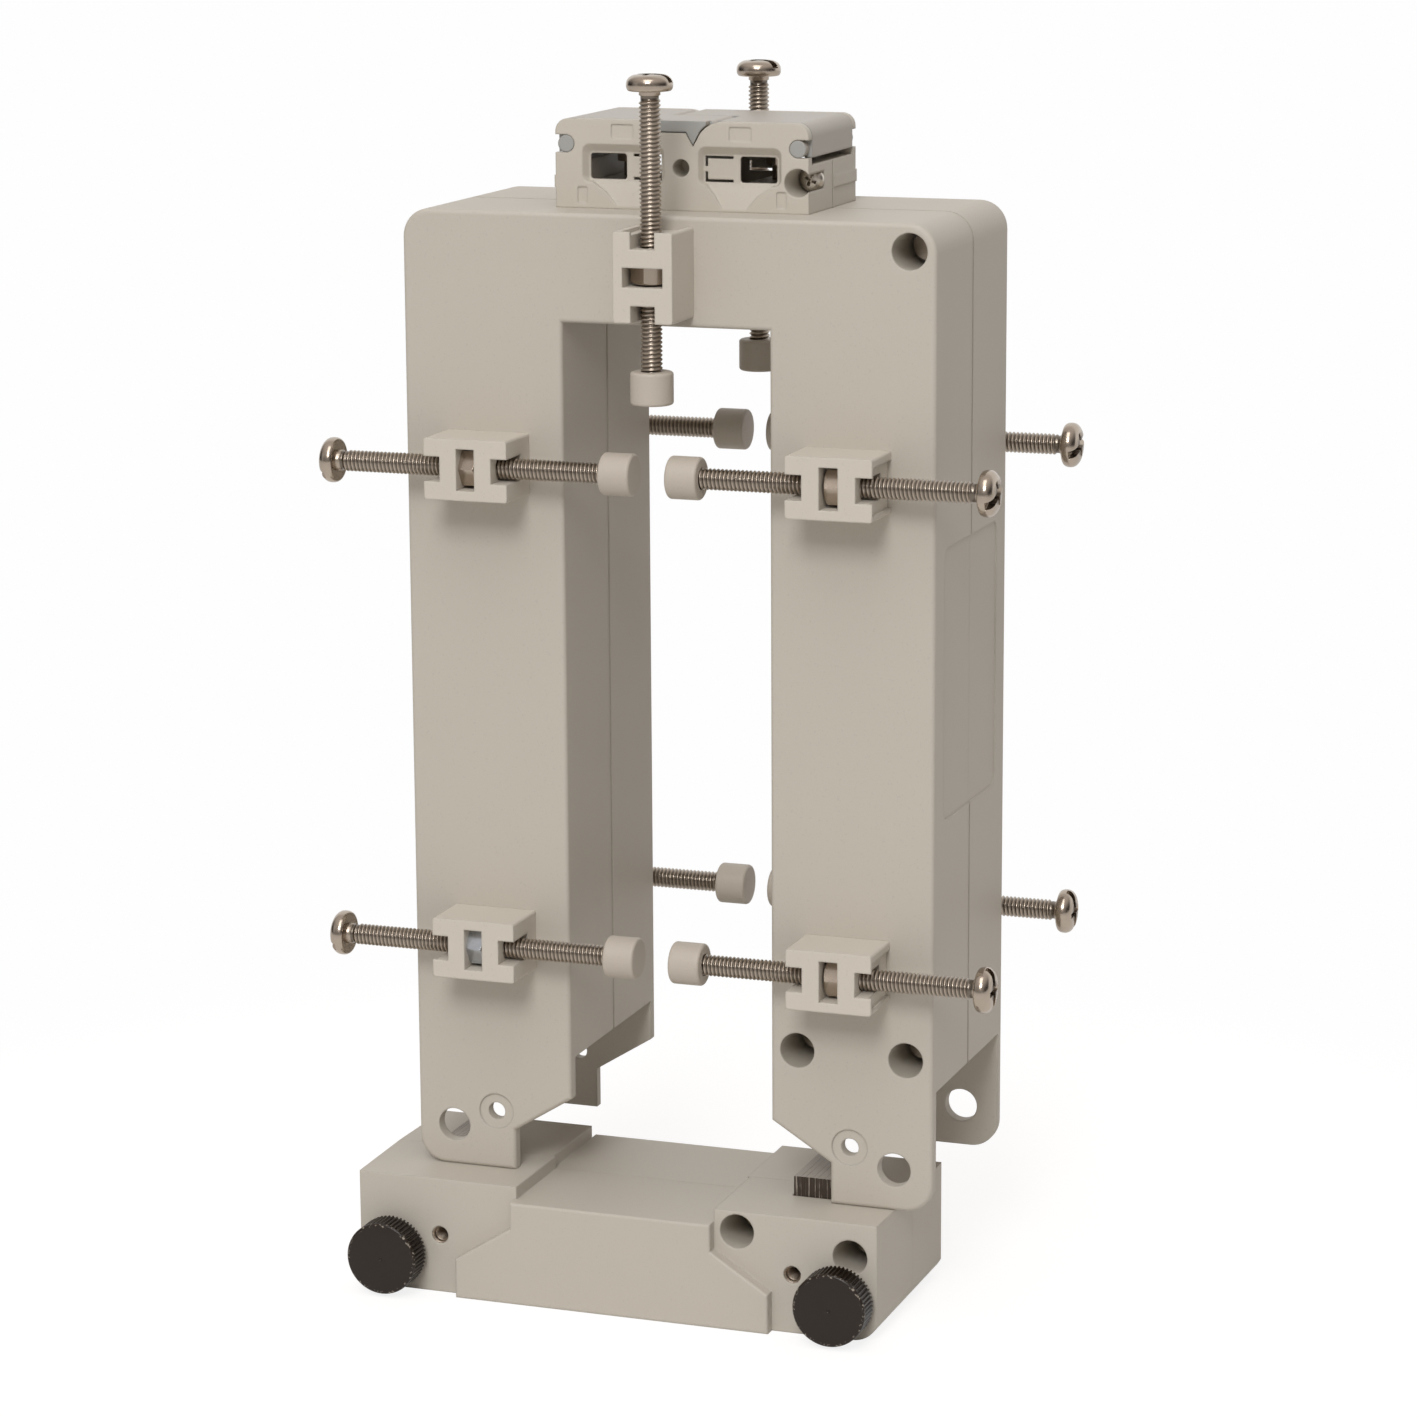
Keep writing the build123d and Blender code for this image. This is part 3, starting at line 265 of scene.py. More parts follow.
class Turning:
    """A surface round the Z axis, built ring by ring, with a thread where it is called for."""

    # A thread's ridge: shares of the pitch, each with its share of the depth
    RIDGE = ((0.0, 0.0), (0.27, 0.8), (0.42, 1.0), (0.57, 0.8), (0.84, 0.0))
    # Turns that the thread leaves to its plain ends
    RUN_OUT = 1.4

    def __init__(self, segments):
        self.segments = segments
        self.points = []
        self.faces = []
        self.last = None

    def angle(self, index):
        return 2 * pi * index / self.segments

    def point(self, radius, height, index):
        turn = self.angle(index)
        self.points.append((radius * cos(turn), radius * sin(turn), height))
        return len(self.points) - 1

    def join(self, ring):
        """Faces from the last ring to this one; a ring of one point is a pole."""
        if self.last:
            low = self.last
            for k in range(self.segments):
                n = k + 1
                corners = [
                    low[k % len(low)],
                    low[n % len(low)],
                    ring[n % len(ring)],
                    ring[k % len(ring)],
                ]
                self.faces.append(tuple(dict.fromkeys(corners)))
        self.last = ring

    def pole(self, height):
        self.join([self.point(0, height, 0)])

    def ring(self, radius, height):
        """A ring whose radius and height are numbers or functions of the angle."""
        ring = []
        for k in range(self.segments):
            turn = self.angle(k)
            ring.append(
                self.point(
                    radius(turn) if callable(radius) else radius,
                    height(turn) if callable(height) else height,
                    k,
                )
            )
        self.join(ring)

    def thread(self, root, crest, start, end, pitch):
        """A thread that fades in and out over half a turn, between two plain root rings."""
        count = self.segments
        top = len(self.RIDGE) - 1
        steps = int(((end - start) / pitch - self.RUN_OUT) * count)
        base = start + (end - start - pitch * (steps / count + self.RIDGE[top][0])) / 2
        self.ring(root, start)
        low = self.last
        rows = []
        for i in range(steps + 1):
            fade = min(1.0, 2 * i / count, 2 * (steps - i) / count)
            row = []
            for along, rise in self.RIDGE:
                radius = root + (crest - root) * rise * fade
                row.append(self.point(radius, base + pitch * (i / count + along), i))
            rows.append(row)
        for k in range(count - 1):
            self.faces.append((low[k], low[k + 1], rows[k + 1][0], rows[k][0]))
        self.faces.append((low[-1], low[0], *rows[0], rows[count][0], rows[count - 1][0]))
        for i in range(steps):
            here, there = rows[i], rows[i + 1]
            for p in range(top):
                self.faces.append((here[p], there[p], there[p + 1], here[p + 1]))
            if i + 1 + count <= steps:
                above, beyond = rows[i + count][0], rows[i + 1 + count][0]
                self.faces.append((here[top], there[top], beyond, above))
        first = steps - count
        self.last = None
        self.ring(root, end)
        high = self.last
        for k in range(1, count):
            here, there = rows[first + k][top], rows[first + k + 1][top]
            above, beyond = high[(first + k) % count], high[(first + k + 1) % count]
            self.faces.append((here, there, beyond, above))
        seam = (high[(first + 1) % count], high[first % count], *reversed(rows[steps]))
        self.faces.append((rows[first][top], rows[first + 1][top], *seam))

    def close(self, first):
        """Joins the last ring to an earlier one, given by its first point's number."""
        self.join(list(range(first, first + self.segments)))

    def mesh(self, name, sharp=SHARP):
        return make_mesh(name, self.points, self.faces, sharp)


def make_mesh(name, points, faces, sharp=SHARP):
    """A mesh with outward normals, smooth up to an angle in degrees."""
    mesh = bpy.data.meshes.new(name)
    mesh.from_pydata(points, [], faces)
    shape = bmesh.new()
    shape.from_mesh(mesh)
    bmesh.ops.recalc_face_normals(shape, faces=shape.faces)
    soften(shape, sharp)
    shape.to_mesh(mesh)
    shape.free()
    return mesh


def soften(shape, sharp):
    """Smooth faces, with the edges over an angle kept sharp."""
    for face in shape.faces:
        face.smooth = True
    for edge in shape.edges:
        edge.smooth = edge.calc_face_angle(0) < radians(sharp)


def make_object(name, mesh, material):
    """An object in the scene with this mesh and finish."""
    piece = bpy.data.objects.new(name, mesh)
    bpy.context.scene.collection.objects.link(piece)
    if not mesh.materials:
        mesh.materials.append(material)
    else:
        piece.material_slots[0].link = "OBJECT"
        piece.material_slots[0].material = material
    return piece


def wedge(low, high, bottom_share, depth):
    """A convex block cut down from Z 0, as wide as low and high give at the top."""
    points = []
    for level, share in ((-depth / 4, 1 + (1 - bottom_share) / 4), (depth, bottom_share)):
        for x, y in ((low, low), (high, low), (high, high), (low, high)):
            points.append((x[0] * share, y[1] * share, level))
    faces = [(3, 2, 1, 0), (4, 5, 6, 7)]
    faces += [(k, (k + 1) % 4, (k + 1) % 4 + 4, k + 4) for k in range(4)]
    return points, faces


def carve(mesh, cutters):
    """The mesh with each (points, faces) block cut out of it."""
    body = bpy.data.objects.new("carved", mesh)
    bpy.context.scene.collection.objects.link(body)
    tools = []
    for points, faces in cutters:
        tool = bpy.data.objects.new("cutter", make_mesh("cutter", points, faces))
        bpy.context.scene.collection.objects.link(tool)
        cut = body.modifiers.new("cut", "BOOLEAN")
        cut.operation = "DIFFERENCE"
        cut.solver = "EXACT"
        cut.object = tool
        tools.append(tool)
    graph = bpy.context.evaluated_depsgraph_get()
    result = bpy.data.meshes.new_from_object(body.evaluated_get(graph))
    for tool in (*tools, body):
        bpy.data.objects.remove(tool)
    shape = bmesh.new()
    shape.from_mesh(result)
    bmesh.ops.remove_doubles(shape, verts=shape.verts, dist=WELD)
    soften(shape, SHARP)
    shape.to_mesh(result)
    shape.free()
    return result


def standing(origin, direction, turn=0.0):
    """Matrix that puts a piece's Z along a direction, turned about it by an angle in degrees."""
    lean = Vector(direction).to_track_quat("Z", "Y").to_matrix().to_4x4()
    return Matrix.Translation(origin) @ lean @ Matrix.Rotation(radians(turn), 4, "Z")


def seat(piece, body, nodes, matrix=None):
    """Puts a piece in place for the CAD nodes that it stands for."""
    if matrix:
        piece.matrix_world = matrix
    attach(piece, body)
    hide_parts(*nodes)


def dress(names, material):
    """Gives CAD nodes a finish through their objects' own slots."""
    for name in names:
        node = frame["nodes"][name]
        if not node.material_slots:
            node.data.materials.append(material)
        for slot in node.material_slots:
            slot.link = "OBJECT"
            slot.material = material


# Sizes and colours that a user would change


class ThreadSizes(bpy.types.PropertyGroup):
    """Threads and screw heads."""

    radius: FloatProperty(
        name="Thread radius",
        description="Crest radius of the clamp screws",
        default=2.48 * MM,
        unit="LENGTH",
    )
    pitch: FloatProperty(
        name="Pitch",
        description="Height of one turn of the thread",
        default=0.96 * MM,
        unit="LENGTH",
    )
    depth: FloatProperty(
        name="Depth", description="Depth of the thread's groove", default=0.42 * MM, unit="LENGTH"
    )
    neck: FloatProperty(
        name="Neck", description="Plain neck under the head", default=0.9 * MM, unit="LENGTH"
    )
    segments: IntProperty(
        name="Segments", description="Sides of one turn", default=24, min=8, max=64
    )


class KnobSizes(bpy.types.PropertyGroup):
    """Thumb knobs."""

    ridges: IntProperty(
        name="Ridges", description="Ridges round the rim", default=54, min=8, max=90
    )
    groove: FloatProperty(
        name="Groove",
        description="Depth of the grooves between ridges",
        default=0.5 * MM,
        unit="LENGTH",
    )
    ridge: FloatProperty(
        name="Ridge",
        description="How far the ridges stand out from the plain knob",
        default=0.7 * MM,
        unit="LENGTH",
    )
    collar: FloatProperty(
        name="Collar",
        description="How far the ridges reach behind the plain knob",
        default=2.0 * MM,
        unit="LENGTH",
    )
    edge: FloatProperty(
        name="Edge", description="Rounding of the face's edge", default=0.55 * MM, unit="LENGTH"
    )
    dimple: FloatProperty(
        name="Dimple",
        description="Radius of the mark in the face's middle",
        default=0.45 * MM,
        unit="LENGTH",
    )


class CoreSizes(bpy.types.PropertyGroup):
    """Laminated cores."""

    strips: IntProperty(
        name="Strips", description="Bundles of strip in the core", default=18, min=2, max=60
    )
    gap: FloatProperty(
        name="Gap", description="Gap between two bundles", default=0.03 * MM, unit="LENGTH"
    )
    stagger: FloatProperty(
        name="Stagger",
        description="How far a bundle's end stands back",
        default=0.04 * MM,
        unit="LENGTH",
    )


class Finishes(bpy.types.PropertyGroup):
    """Colours and grain."""

    housing: FloatVectorProperty(
        name="Housing",
        description="Colour of the moulded housing",
        subtype="COLOR",
        default=(0.53, 0.492, 0.428),
    )
    clip: FloatVectorProperty(
        name="Clips",
        description="Colour of the clips",
        subtype="COLOR",
        default=(0.6, 0.555, 0.485),
    )
    cap: FloatVectorProperty(
        name="Caps",
        description="Colour of the tip caps",
        subtype="COLOR",
        default=(0.5, 0.45, 0.385),
    )
    lid: FloatVectorProperty(
        name="Lids",
        description="Colour of the terminal lids",
        subtype="COLOR",
        default=(0.37, 0.37, 0.35),
    )
    terminal: FloatVectorProperty(
        name="Terminal block",
        description="Colour of the terminal block",
        subtype="COLOR",
        default=(0.56, 0.52, 0.45),
    )
    knob: FloatVectorProperty(
        name="Knobs",
        description="Colour of the thumb knobs",
        subtype="COLOR",
        default=(0.016, 0.009, 0.005),
    )
    nickel: FloatVectorProperty(
        name="Nickel",
        description="Colour of the nickel plated screws",
        subtype="COLOR",
        default=(0.47, 0.4, 0.33),
    )
    zinc: FloatVectorProperty(
        name="Zinc",
        description="Colour of the zinc plated nut and studs",
        subtype="COLOR",
        default=slot_colour("zinc_steel"),
    )
    grain: FloatProperty(
        name="Grain",
        description="Size of the moulded surface's grains",
        default=0.35 * MM,
        unit="LENGTH",
    )
    edge: FloatProperty(
        name="Edge", description="Moulding radius along the edges", default=0.6 * MM, unit="LENGTH"
    )


class StageSettings(bpy.types.PropertyGroup):
    """Camera, lights and floor."""

    camera_place: FloatVectorProperty(
        name="Camera place",
        description="Where the camera stands",
        subtype="TRANSLATION",
        unit="LENGTH",
        default=(0.36088, -0.95661, 0.35838),
    )
    azimuth: FloatProperty(
        name="Azimuth",
        description="How far the camera stands round to the right",
        default=radians(19.868),
        unit="ROTATION",
    )
    elevation: FloatProperty(
        name="Elevation",
        description="How far the camera looks down",
        default=radians(12.083),
        unit="ROTATION",
    )
    roll: FloatProperty(
        name="Roll",
        description="How far the camera leans",
        default=radians(-0.317),
        unit="ROTATION",
    )
    lens: FloatProperty(
        name="Lens",
        description="Focal length in mm on a 36 mm sensor",
        default=113.85,
        min=1,
        max=1000,
    )
    key_power: FloatProperty(
        name="Key light", description="Power of the main lamp", default=45.0, unit="POWER"
    )
    fill: FloatProperty(
        name="Fill", description="Brightness of the room's light", default=0.29, min=0, max=10
    )
    background: FloatProperty(
        name="Background", description="Brightness of the backdrop", default=0.99, min=0, max=1
    )


# Finishes


def moulded(name, colour, grain, edge, roughness=0.55, speckle=0.10, depth=0.02, light_tint_painted=None):
    """Fine-grained moulded plastic: mottled, speckled and slightly rough.

    A tint given for painted light goes on all faces but those that look along Y: it paints warmer
    light on the tops and sides.
    """

    def paint(nodes):
        place = nodes.place()
        grains = nodes.noise(place, grain, 3.0)
        cloud = nodes.noise(place, 18 * MM, 3.0)
        specks = nodes.ramp(nodes.noise(place, 1.6 * grain, 1.0), 0.66, 0.74)
        tone = (grains - 0.5) * speckle + (cloud - 0.5) * 0.07 + 0.5
        base = nodes.mix(tone, shade(colour, 0.80), shade(colour, 1.20))
        if light_tint_painted:
            # Painted light: faces that don't look along Y get a warmer tint, for the warm light on
            # the tops and sides
            _, facing, _ = nodes.axes(nodes.add("ShaderNodeNewGeometry", output="Normal"))
            warm = [part * tint for part, tint in zip(colour, light_tint_painted)]
            painted_warm_light = nodes.mix(tone, shade(warm, 0.80), shade(warm, 1.20))
            base = nodes.mix(nodes.ramp(facing * facing, 0.3, 0.8), painted_warm_light, base)
        return {
            "Base Color": nodes.mix(specks * 0.25, base, shade(colour, 0.72)),
            "Roughness": (grains - 0.5) * 0.16 + (cloud - 0.5) * 0.1 + roughness,
            "IOR": 1.5,
            "Normal": nodes.bump(grains, depth * MM, nodes.rounded(edge)),
        }

    return finish(name, paint)


def plated(name, colour, roughness=0.2, groove=None, scuff=0.002 * MM):
    """Plated steel. Where groove gives a thread's root and crest radii, its root is painted
    darker, as shade in the groove.

    The thread is also duller than the head, and scuff is the depth of the fine marks.
    """

    def paint(nodes):
        place = nodes.place()
        cloud = nodes.noise(place, 2.5 * MM, 3.0)
        scuffs = nodes.noise(place, 0.3 * MM, 2.0)
        base = nodes.mix(cloud, shade(colour, 0.86), shade(colour, 1.10))
        dullness = (cloud - 0.5) * 0.12 + (scuffs - 0.5) * 0.08 + roughness
        if groove:
            across, along, _ = nodes.axes(place)
            reach = across * across + along * along
            root, crest = groove
            # Painted shade: the colour darkens towards the thread's root, where shade falls in the
            # groove
            outside_groove_shade = nodes.ramp(reach, (root * 1.01) ** 2, (crest * 0.985) ** 2)
            base = nodes.mix(outside_groove_shade, shade(colour, 0.42), base)
            thread = 1 - nodes.ramp(reach, crest**2, (1.1 * crest) ** 2)
            dullness = thread * 0.1 + dullness
        return {
            "Base Color": base,
            "Metallic": 1.0,
            "Roughness": dullness,
            "Normal": nodes.bump(scuffs, scuff, nodes.rounded(0.12 * MM)),
        }

    return finish(name, paint)


def striped(name, dark, light, width):
    """Cut edges of thin steel strip, stacked along X; faces that look up are plain and light."""

    def paint(nodes):
        place = nodes.place()
        lines = nodes.noise(place, width, 1.0, stretch=(1.0, 0.02, 0.02))
        cloud = nodes.noise(place, 1.5 * MM, 3.0)
        tone = nodes.ramp(lines + (cloud - 0.5) * 0.2, 0.58, 0.68)
        _, _, up = nodes.axes(nodes.add("ShaderNodeNewGeometry", output="Normal"))
        cut = nodes.ramp(up, 0.6, 0.9)
        flat = nodes.mix(cloud, shade(light, 0.9), shade(light, 1.25))
        return {
            "Base Color": nodes.mix(cut, nodes.mix(tone, dark, light), flat),
            "Metallic": 0.2,
            "Roughness": (cloud - 0.5) * 0.2 + 0.5,
            "Normal": nodes.bump(lines, 0.03 * MM),
        }

    return finish(name, paint)


def wound(name, colour, pitch):
    """Enamelled wire in close turns up the leg."""

    def paint(nodes):
        place = nodes.place()
        settings = {"wave_type": "BANDS", "bands_direction": "Z"}
        inputs = {"Vector": place, "Scale": 1 / (pitch * 3.2), "Distortion": 0.2}
        turns = nodes.add("ShaderNodeTexWave", settings, inputs, output="Fac")
        return {
            "Base Color": nodes.mix(turns, shade(colour, 0.45), colour),
            "Metallic": 0.6,
            "Roughness": (turns - 0.5) * 0.1 + 0.35,
            "Normal": nodes.bump(turns, 0.2 * MM),
        }

    return finish(name, paint)


def black_plastic_painted_glints(name, colour, radius, thickness):
    """Black moulded plastic, with painted glints: pale spots along the rim of its face."""

    def paint(nodes):
        place = nodes.place()
        grains = nodes.noise(place, 0.3 * MM, 2.0)
        across, along, depth = nodes.axes(place)
        reach = across * across + along * along
        rim = nodes.ramp(reach, (0.9 * radius) ** 2, (0.94 * radius) ** 2)
        face = nodes.ramp(depth, thickness - 0.9 * MM, thickness - 0.4 * MM)
        # Painted highlight: pale spots along the rim of the face stand for glints
        painted_glints = nodes.ramp(nodes.noise(place, 0.7 * MM, 3.0), 0.56, 0.68) * rim * face
        base = nodes.mix(grains, shade(colour, 0.8), shade(colour, 1.2))
        return {
            "Base Color": nodes.mix(painted_glints, base, (0.34, 0.30, 0.25)),
            "Roughness": (grains - 0.5) * 0.2 + 0.33,
            "IOR": 1.43,
            "Normal": nodes.bump(grains, 0.006 * MM, nodes.rounded(0.15 * MM)),
        }

    return finish(name, paint)


def nickel(finishes):
    """Plain nickel plating of the small fasteners."""
    return plated("nickel_plating", tuple(finishes.nickel))


# Pieces


def screw_mesh(name, head_radius, head, radius, length, sizes):
    """Pan head screw with a cross recess and a slot; Z runs from the head's top to the tip."""
    head_height, recess, slot = head
    crown_width, crown_height = 0.48 * head_radius, 0.54 * head_height
    under_width, under_height = 0.13 * head_radius, 0.34 * head_height
    root = radius - sizes.depth
    lip = 0.06 * head_height
    turning = Turning(2 * sizes.segments)
    turning.pole(0)
    turning.ring(0.5 * (head_radius - crown_width), 0.02 * head_height)
    steps = 6
    for step in range(steps + 1):
        turn = pi / 2 * step / steps
        turning.ring(
            head_radius - crown_width * (1 - sin(turn)),
            0.04 * head_height + crown_height * (1 - cos(turn)),
        )
    for step in range(1, steps + 1):
        turn = pi / 2 * step / steps
        turning.ring(
            head_radius - under_width * (1 - cos(turn)),
            head_height - under_height * (1 - sin(turn)),
        )
    turning.ring(head_radius - under_width - 0.5 * lip, head_height)
    turning.ring(radius + lip, head_height)
    turning.pole(head_height)
    carved_head = carve(turning.mesh("head"), recess_blocks(recess, slot, head_radius))
    neck_radius = radius - 0.3 * lip
    neck_end = head_height + sizes.neck
    run_in = 0.2 * MM
    tip = 0.4 * MM
    tip_chamfer = 0.25 * MM
    flank_angle = 75
    shank = Turning(sizes.segments)
    shank.pole(head_height - lip)
    shank.ring(neck_radius, head_height - lip)
    shank.ring(neck_radius, neck_end)
    shank.thread(root, radius, neck_end + run_in, length - tip, sizes.pitch)
    shank.ring(root - tip_chamfer, length)
    shank.pole(length)
    shape = bmesh.new()
    shape.from_mesh(carved_head)
    shape.from_mesh(shank.mesh("shank", flank_angle))
    mesh = bpy.data.meshes.new(name)
    shape.to_mesh(mesh)
    shape.free()
    return mesh


def recess_blocks(recess, slot, head_radius):
    """Cutters for a cross recess (half length, half width, depth) and a slot of this depth."""
    long, narrow, depth = recess
    cross_taper = 0.55
    blocks = [
        wedge((-long, -narrow), (long, narrow), cross_taper, depth),
        wedge((-narrow, -long), (narrow, long), cross_taper, depth),
    ]
    if slot:
        half = 1.5 * narrow
        reach = 1.2 * head_radius
        slot_taper = 0.94
        blocks.append(wedge((-reach, -half), (reach, half), slot_taper, slot))
    return blocks


def clamp_frame(place):
    """Top of a clamp screw's head, the direction towards its tip, and its length."""
    low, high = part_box(f"clamp_screw_{place}")
    middle = (low + high) / 2
    if place.endswith("top"):
        return Vector((middle.x, middle.y, high.z)), Vector((0, 0, -1)), high.z - low.z
    if "left" in place:
        return Vector((low.x, middle.y, middle.z)), Vector((1, 0, 0)), high.x - low.x
    return Vector((high.x, middle.y, middle.z)), Vector((-1, 0, 0)), high.x - low.x


def nut_mesh(name, flats, height, bore, sizes):
    """Hexagon nut with chamfered corners and a threaded bore, centred on the origin.

    Its near face, below Z 0 and towards the screw's head, has the smaller chamfer.
    """
    apothem = flats / 2
    near_bearing = 1.09 * apothem
    far_bearing = 0.94 * apothem
    chamfer_angle = radians(30)
    lead = 0.1 * MM
    sliver = 0.001 * MM
    rim_step = 0.02 * MM
    corner_angle = 25

    def hexagon(turn):
        return apothem / cos(turn % (pi / 3) - pi / 6)

    def drop(turn, bearing):
        return max(0, hexagon(turn) - bearing) * tan(chamfer_angle)

    turning = Turning(2 * sizes.segments)
    turning.thread(bore + sliver, bore - lead, lead - height / 2, height / 2 - lead, sizes.pitch)
    turning.ring(bore + lead, height / 2)
    turning.ring(far_bearing, height / 2)
    turning.ring(hexagon, lambda turn: height / 2 - drop(turn, far_bearing))
    turning.ring(hexagon, lambda turn: drop(turn, near_bearing) - height / 2)
    turning.ring(lambda turn: min(near_bearing, hexagon(turn)) - rim_step, -height / 2)
    turning.ring(bore + lead, -height / 2)
    turning.close(0)
    return turning.mesh(name, corner_angle)


def insert_mesh(name, outer, bore, length, sizes):
    """Threaded insert with a small lead-in; Z runs inwards from its face."""
    depth = 0.28 * MM
    start = 0.35 * MM
    run_out = 0.2 * MM
    lead_in = 0.25 * MM
    chamfer = 0.1 * MM
    turning = Turning(36)
    turning.thread(bore, bore - depth, start, length - run_out, 0.75 * sizes.pitch)
    turning.ring(bore, length)
    turning.ring(outer, length)
    turning.ring(outer, chamfer)
    turning.ring(outer - chamfer, 0)
    turning.ring(bore + lead_in, 0)
    turning.close(0)
    return turning.mesh(name)


def knob_mesh(name, radius, thickness, sizes):
    """Thumb knob with straight ridges; Z runs from its back to its face."""
    per_ridge = 8
    flank_slope = 4.2
    groove_width = 0.45
    ridge_angle = 28
    turning = Turning(per_ridge * sizes.ridges)
    edge = sizes.edge

    def rim(cut):
        """Radius at each angle, lower by cut in the grooves between the ridges."""

        def radius_at(turn):
            share = (turn * sizes.ridges / (2 * pi)) % 1
            rise = min(1.0, max(0.0, flank_slope * abs(share - 0.5) - groove_width))
            return radius - cut * (1 - rise)

        return radius_at

    turning.pole(0)
    turning.ring(radius - 1.6 * edge, 0)
    turning.ring(rim(sizes.groove), 0.6 * edge)
    turning.ring(rim(sizes.groove), thickness - 2.2 * edge)
    turning.ring(rim(0.5 * sizes.groove), thickness - 1.5 * edge)
    steps = 4
    for step in range(steps + 1):
        turn = pi / 2 * step / steps
        turning.ring(radius - edge + edge * cos(turn), thickness - edge + edge * sin(turn))
    turning.ring(1.6 * sizes.dimple, thickness)
    turning.ring(sizes.dimple, thickness - 0.02 * MM)
    turning.ring(0.5 * sizes.dimple, thickness - 0.2 * MM)
    turning.pole(thickness - 0.22 * MM)
    return turning.mesh(name, ridge_angle)


def core_mesh(name, node, opens_up, sizes):
    """Nested U strips that fill a core half, with slightly uneven ends."""
    low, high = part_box(node)
    centre = (low + high) / 2
    half_span = (high.x - low.x) / 2
    rise = high.z - low.z
    step = LIMB / sizes.strips
    strip_angle = 20
    bend_steps = 8
    bend = range(bend_steps + 1)
    # From the left end round both bends to the right end; an end has no step of a bend
    stations = [(-1, k) for k in (None, *bend)] + [(1, k) for k in (*reversed(bend), None)]
    points = []
    faces = []
    for strip in range(sizes.strips):
        stand_back = sizes.stagger * ((strip * 7) % 5) / 4
        rings = []
        for x_sign, k in stations:
            ring = []
            for inset in (strip * step, (strip + 1) * step - sizes.gap):
                radius = CORE_CORNER + LIMB - inset
                if k is None:
                    x = half_span - inset
                    z = rise - stand_back
                else:
                    turn = pi / 2 * k / bend_steps
                    x = half_span - inset - radius + radius * cos(turn)
                    z = inset + radius - radius * sin(turn)
                ring.append((x_sign * x, z))
            rings.append(ring)
        first = len(points)
        for ring in rings:
            for x, z in ring:
                up = low.z + z if opens_up else high.z - z
                points.append((centre.x + x, low.y, up))
                points.append((centre.x + x, high.y, up))
        for k in range(len(rings) - 1):
            a = first + 4 * k
            b = a + 4
            faces += [
                (a, a + 1, b + 1, b),
                (a + 2, b + 2, b + 3, a + 3),
                (a, b, b + 2, a + 2),
                (a + 1, a + 3, b + 3, b + 1),
            ]
        last = first + 4 * (len(rings) - 1)
        faces += [(first, first + 2, first + 3, first + 1), (last, last + 1, last + 3, last + 2)]
    return make_mesh(name, points, faces, strip_angle)


# Operators


class DressHousing(bpy.types.Operator):
    """Give the frame and yoke shells their grained plastic"""

    bl_idname = "transformer.housing"
    bl_label = "Housing"

    def execute(self, context):
        looks = context.scene.transformer_finishes
        material = moulded("housing_plastic_grain", tuple(looks.housing), looks.grain, looks.edge)
        dress([f"{part}_{row}_shell" for part in ("frame", "yoke") for row in ROWS], material)
        return {"FINISHED"}


class DressClips(bpy.types.Operator):
    """Give the clamp clips and tip caps their plastic"""

    bl_idname = "transformer.clips"
    bl_label = "Clips and caps"

    def execute(self, context):
        looks = context.scene.transformer_finishes
        clip = moulded(
            "clip_plastic_grain",
            tuple(looks.clip),
            looks.grain,
            looks.edge,
            roughness=0.5,
            speckle=0.07,
        )
        cap = moulded(
            "cap_plastic_smooth",
            tuple(looks.cap),
            looks.grain,
            0.25 * looks.edge,
            roughness=0.5,
            speckle=0.04,
            depth=0.008,
        )
        dress([f"clamp_clip_{place}" for place in clamp_spots()], clip)
        dress([f"tip_cap_{place}" for place in clamp_spots()], cap)
        return {"FINISHED"}


class MakeClampScrews(bpy.types.Operator):
    """Make the ten threaded clamp screws with their cross and slot heads"""

    bl_idname = "transformer.clamp_screws"
    bl_label = "Clamp screws"

    def execute(self, context):
        sizes = context.scene.transformer_threads
        looks = context.scene.transformer_finishes
        groove = (sizes.radius - sizes.depth, sizes.radius)
        material = plated("nickel_thread", tuple(looks.nickel), 0.2, groove)
        low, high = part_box("clamp_screw_front_top")
        head_radius = (high.x - low.x) / 2
        patterns = {}
        for place in clamp_spots():
            origin, direction, length = clamp_frame(place)
            kind = "top" if place.endswith("top") else "side"
            if kind not in patterns:
                name = f"clamp_screw_{kind}"
                patterns[kind] = screw_mesh(
                    name, head_radius, CLAMP_HEAD, sizes.radius, length, sizes
                )
            mesh = patterns[kind].copy()
            mesh.transform(Matrix.Rotation(radians(HEAD_TURNS[place]), 4, "Z"))
            piece = make_object(f"threaded_screw_{place}", mesh, material)
            matrix = standing(origin, direction)
            seat(piece, f"clamp_{place}", [f"clamp_screw_{place}"], matrix)
        return {"FINISHED"}


class MakeClampNuts(bpy.types.Operator):
    """Make the ten hexagon nuts in the clips"""

    bl_idname = "transformer.clamp_nuts"
    bl_label = "Clamp nuts"

    def execute(self, context):
        sizes = context.scene.transformer_threads
        looks = context.scene.transformer_finishes
        mesh = nut_mesh("clamp_nut", NUT_FLATS, NUT_HEIGHT, NUT_BORE, sizes)
        for place in clamp_spots():
            _, direction, _ = clamp_frame(place)
            screw_low, screw_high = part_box(f"clamp_screw_{place}")
            clip_low, clip_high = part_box(f"clamp_clip_{place}")
            middle = (clip_low + clip_high) / 2 - NUT_SHIFT * direction
            axis = (screw_low + screw_high) / 2
            middle.y = axis.y
            zinc = place == "front_left_lower"
            colour = tuple(looks.zinc) if zinc else tuple(looks.nickel)
            name = "zinc_nut" if zinc else "nickel_nut"
            material = plated(name, colour, 0.22, scuff=0.0006 * MM)
            piece = make_object(f"hexagon_nut_{place}", mesh, material)
            turn = 90 if place.endswith("top") else 0
            matrix = standing(middle, direction, turn)
            seat(piece, "transformer", ["clamp_nuts"], matrix)
        return {"FINISHED"}


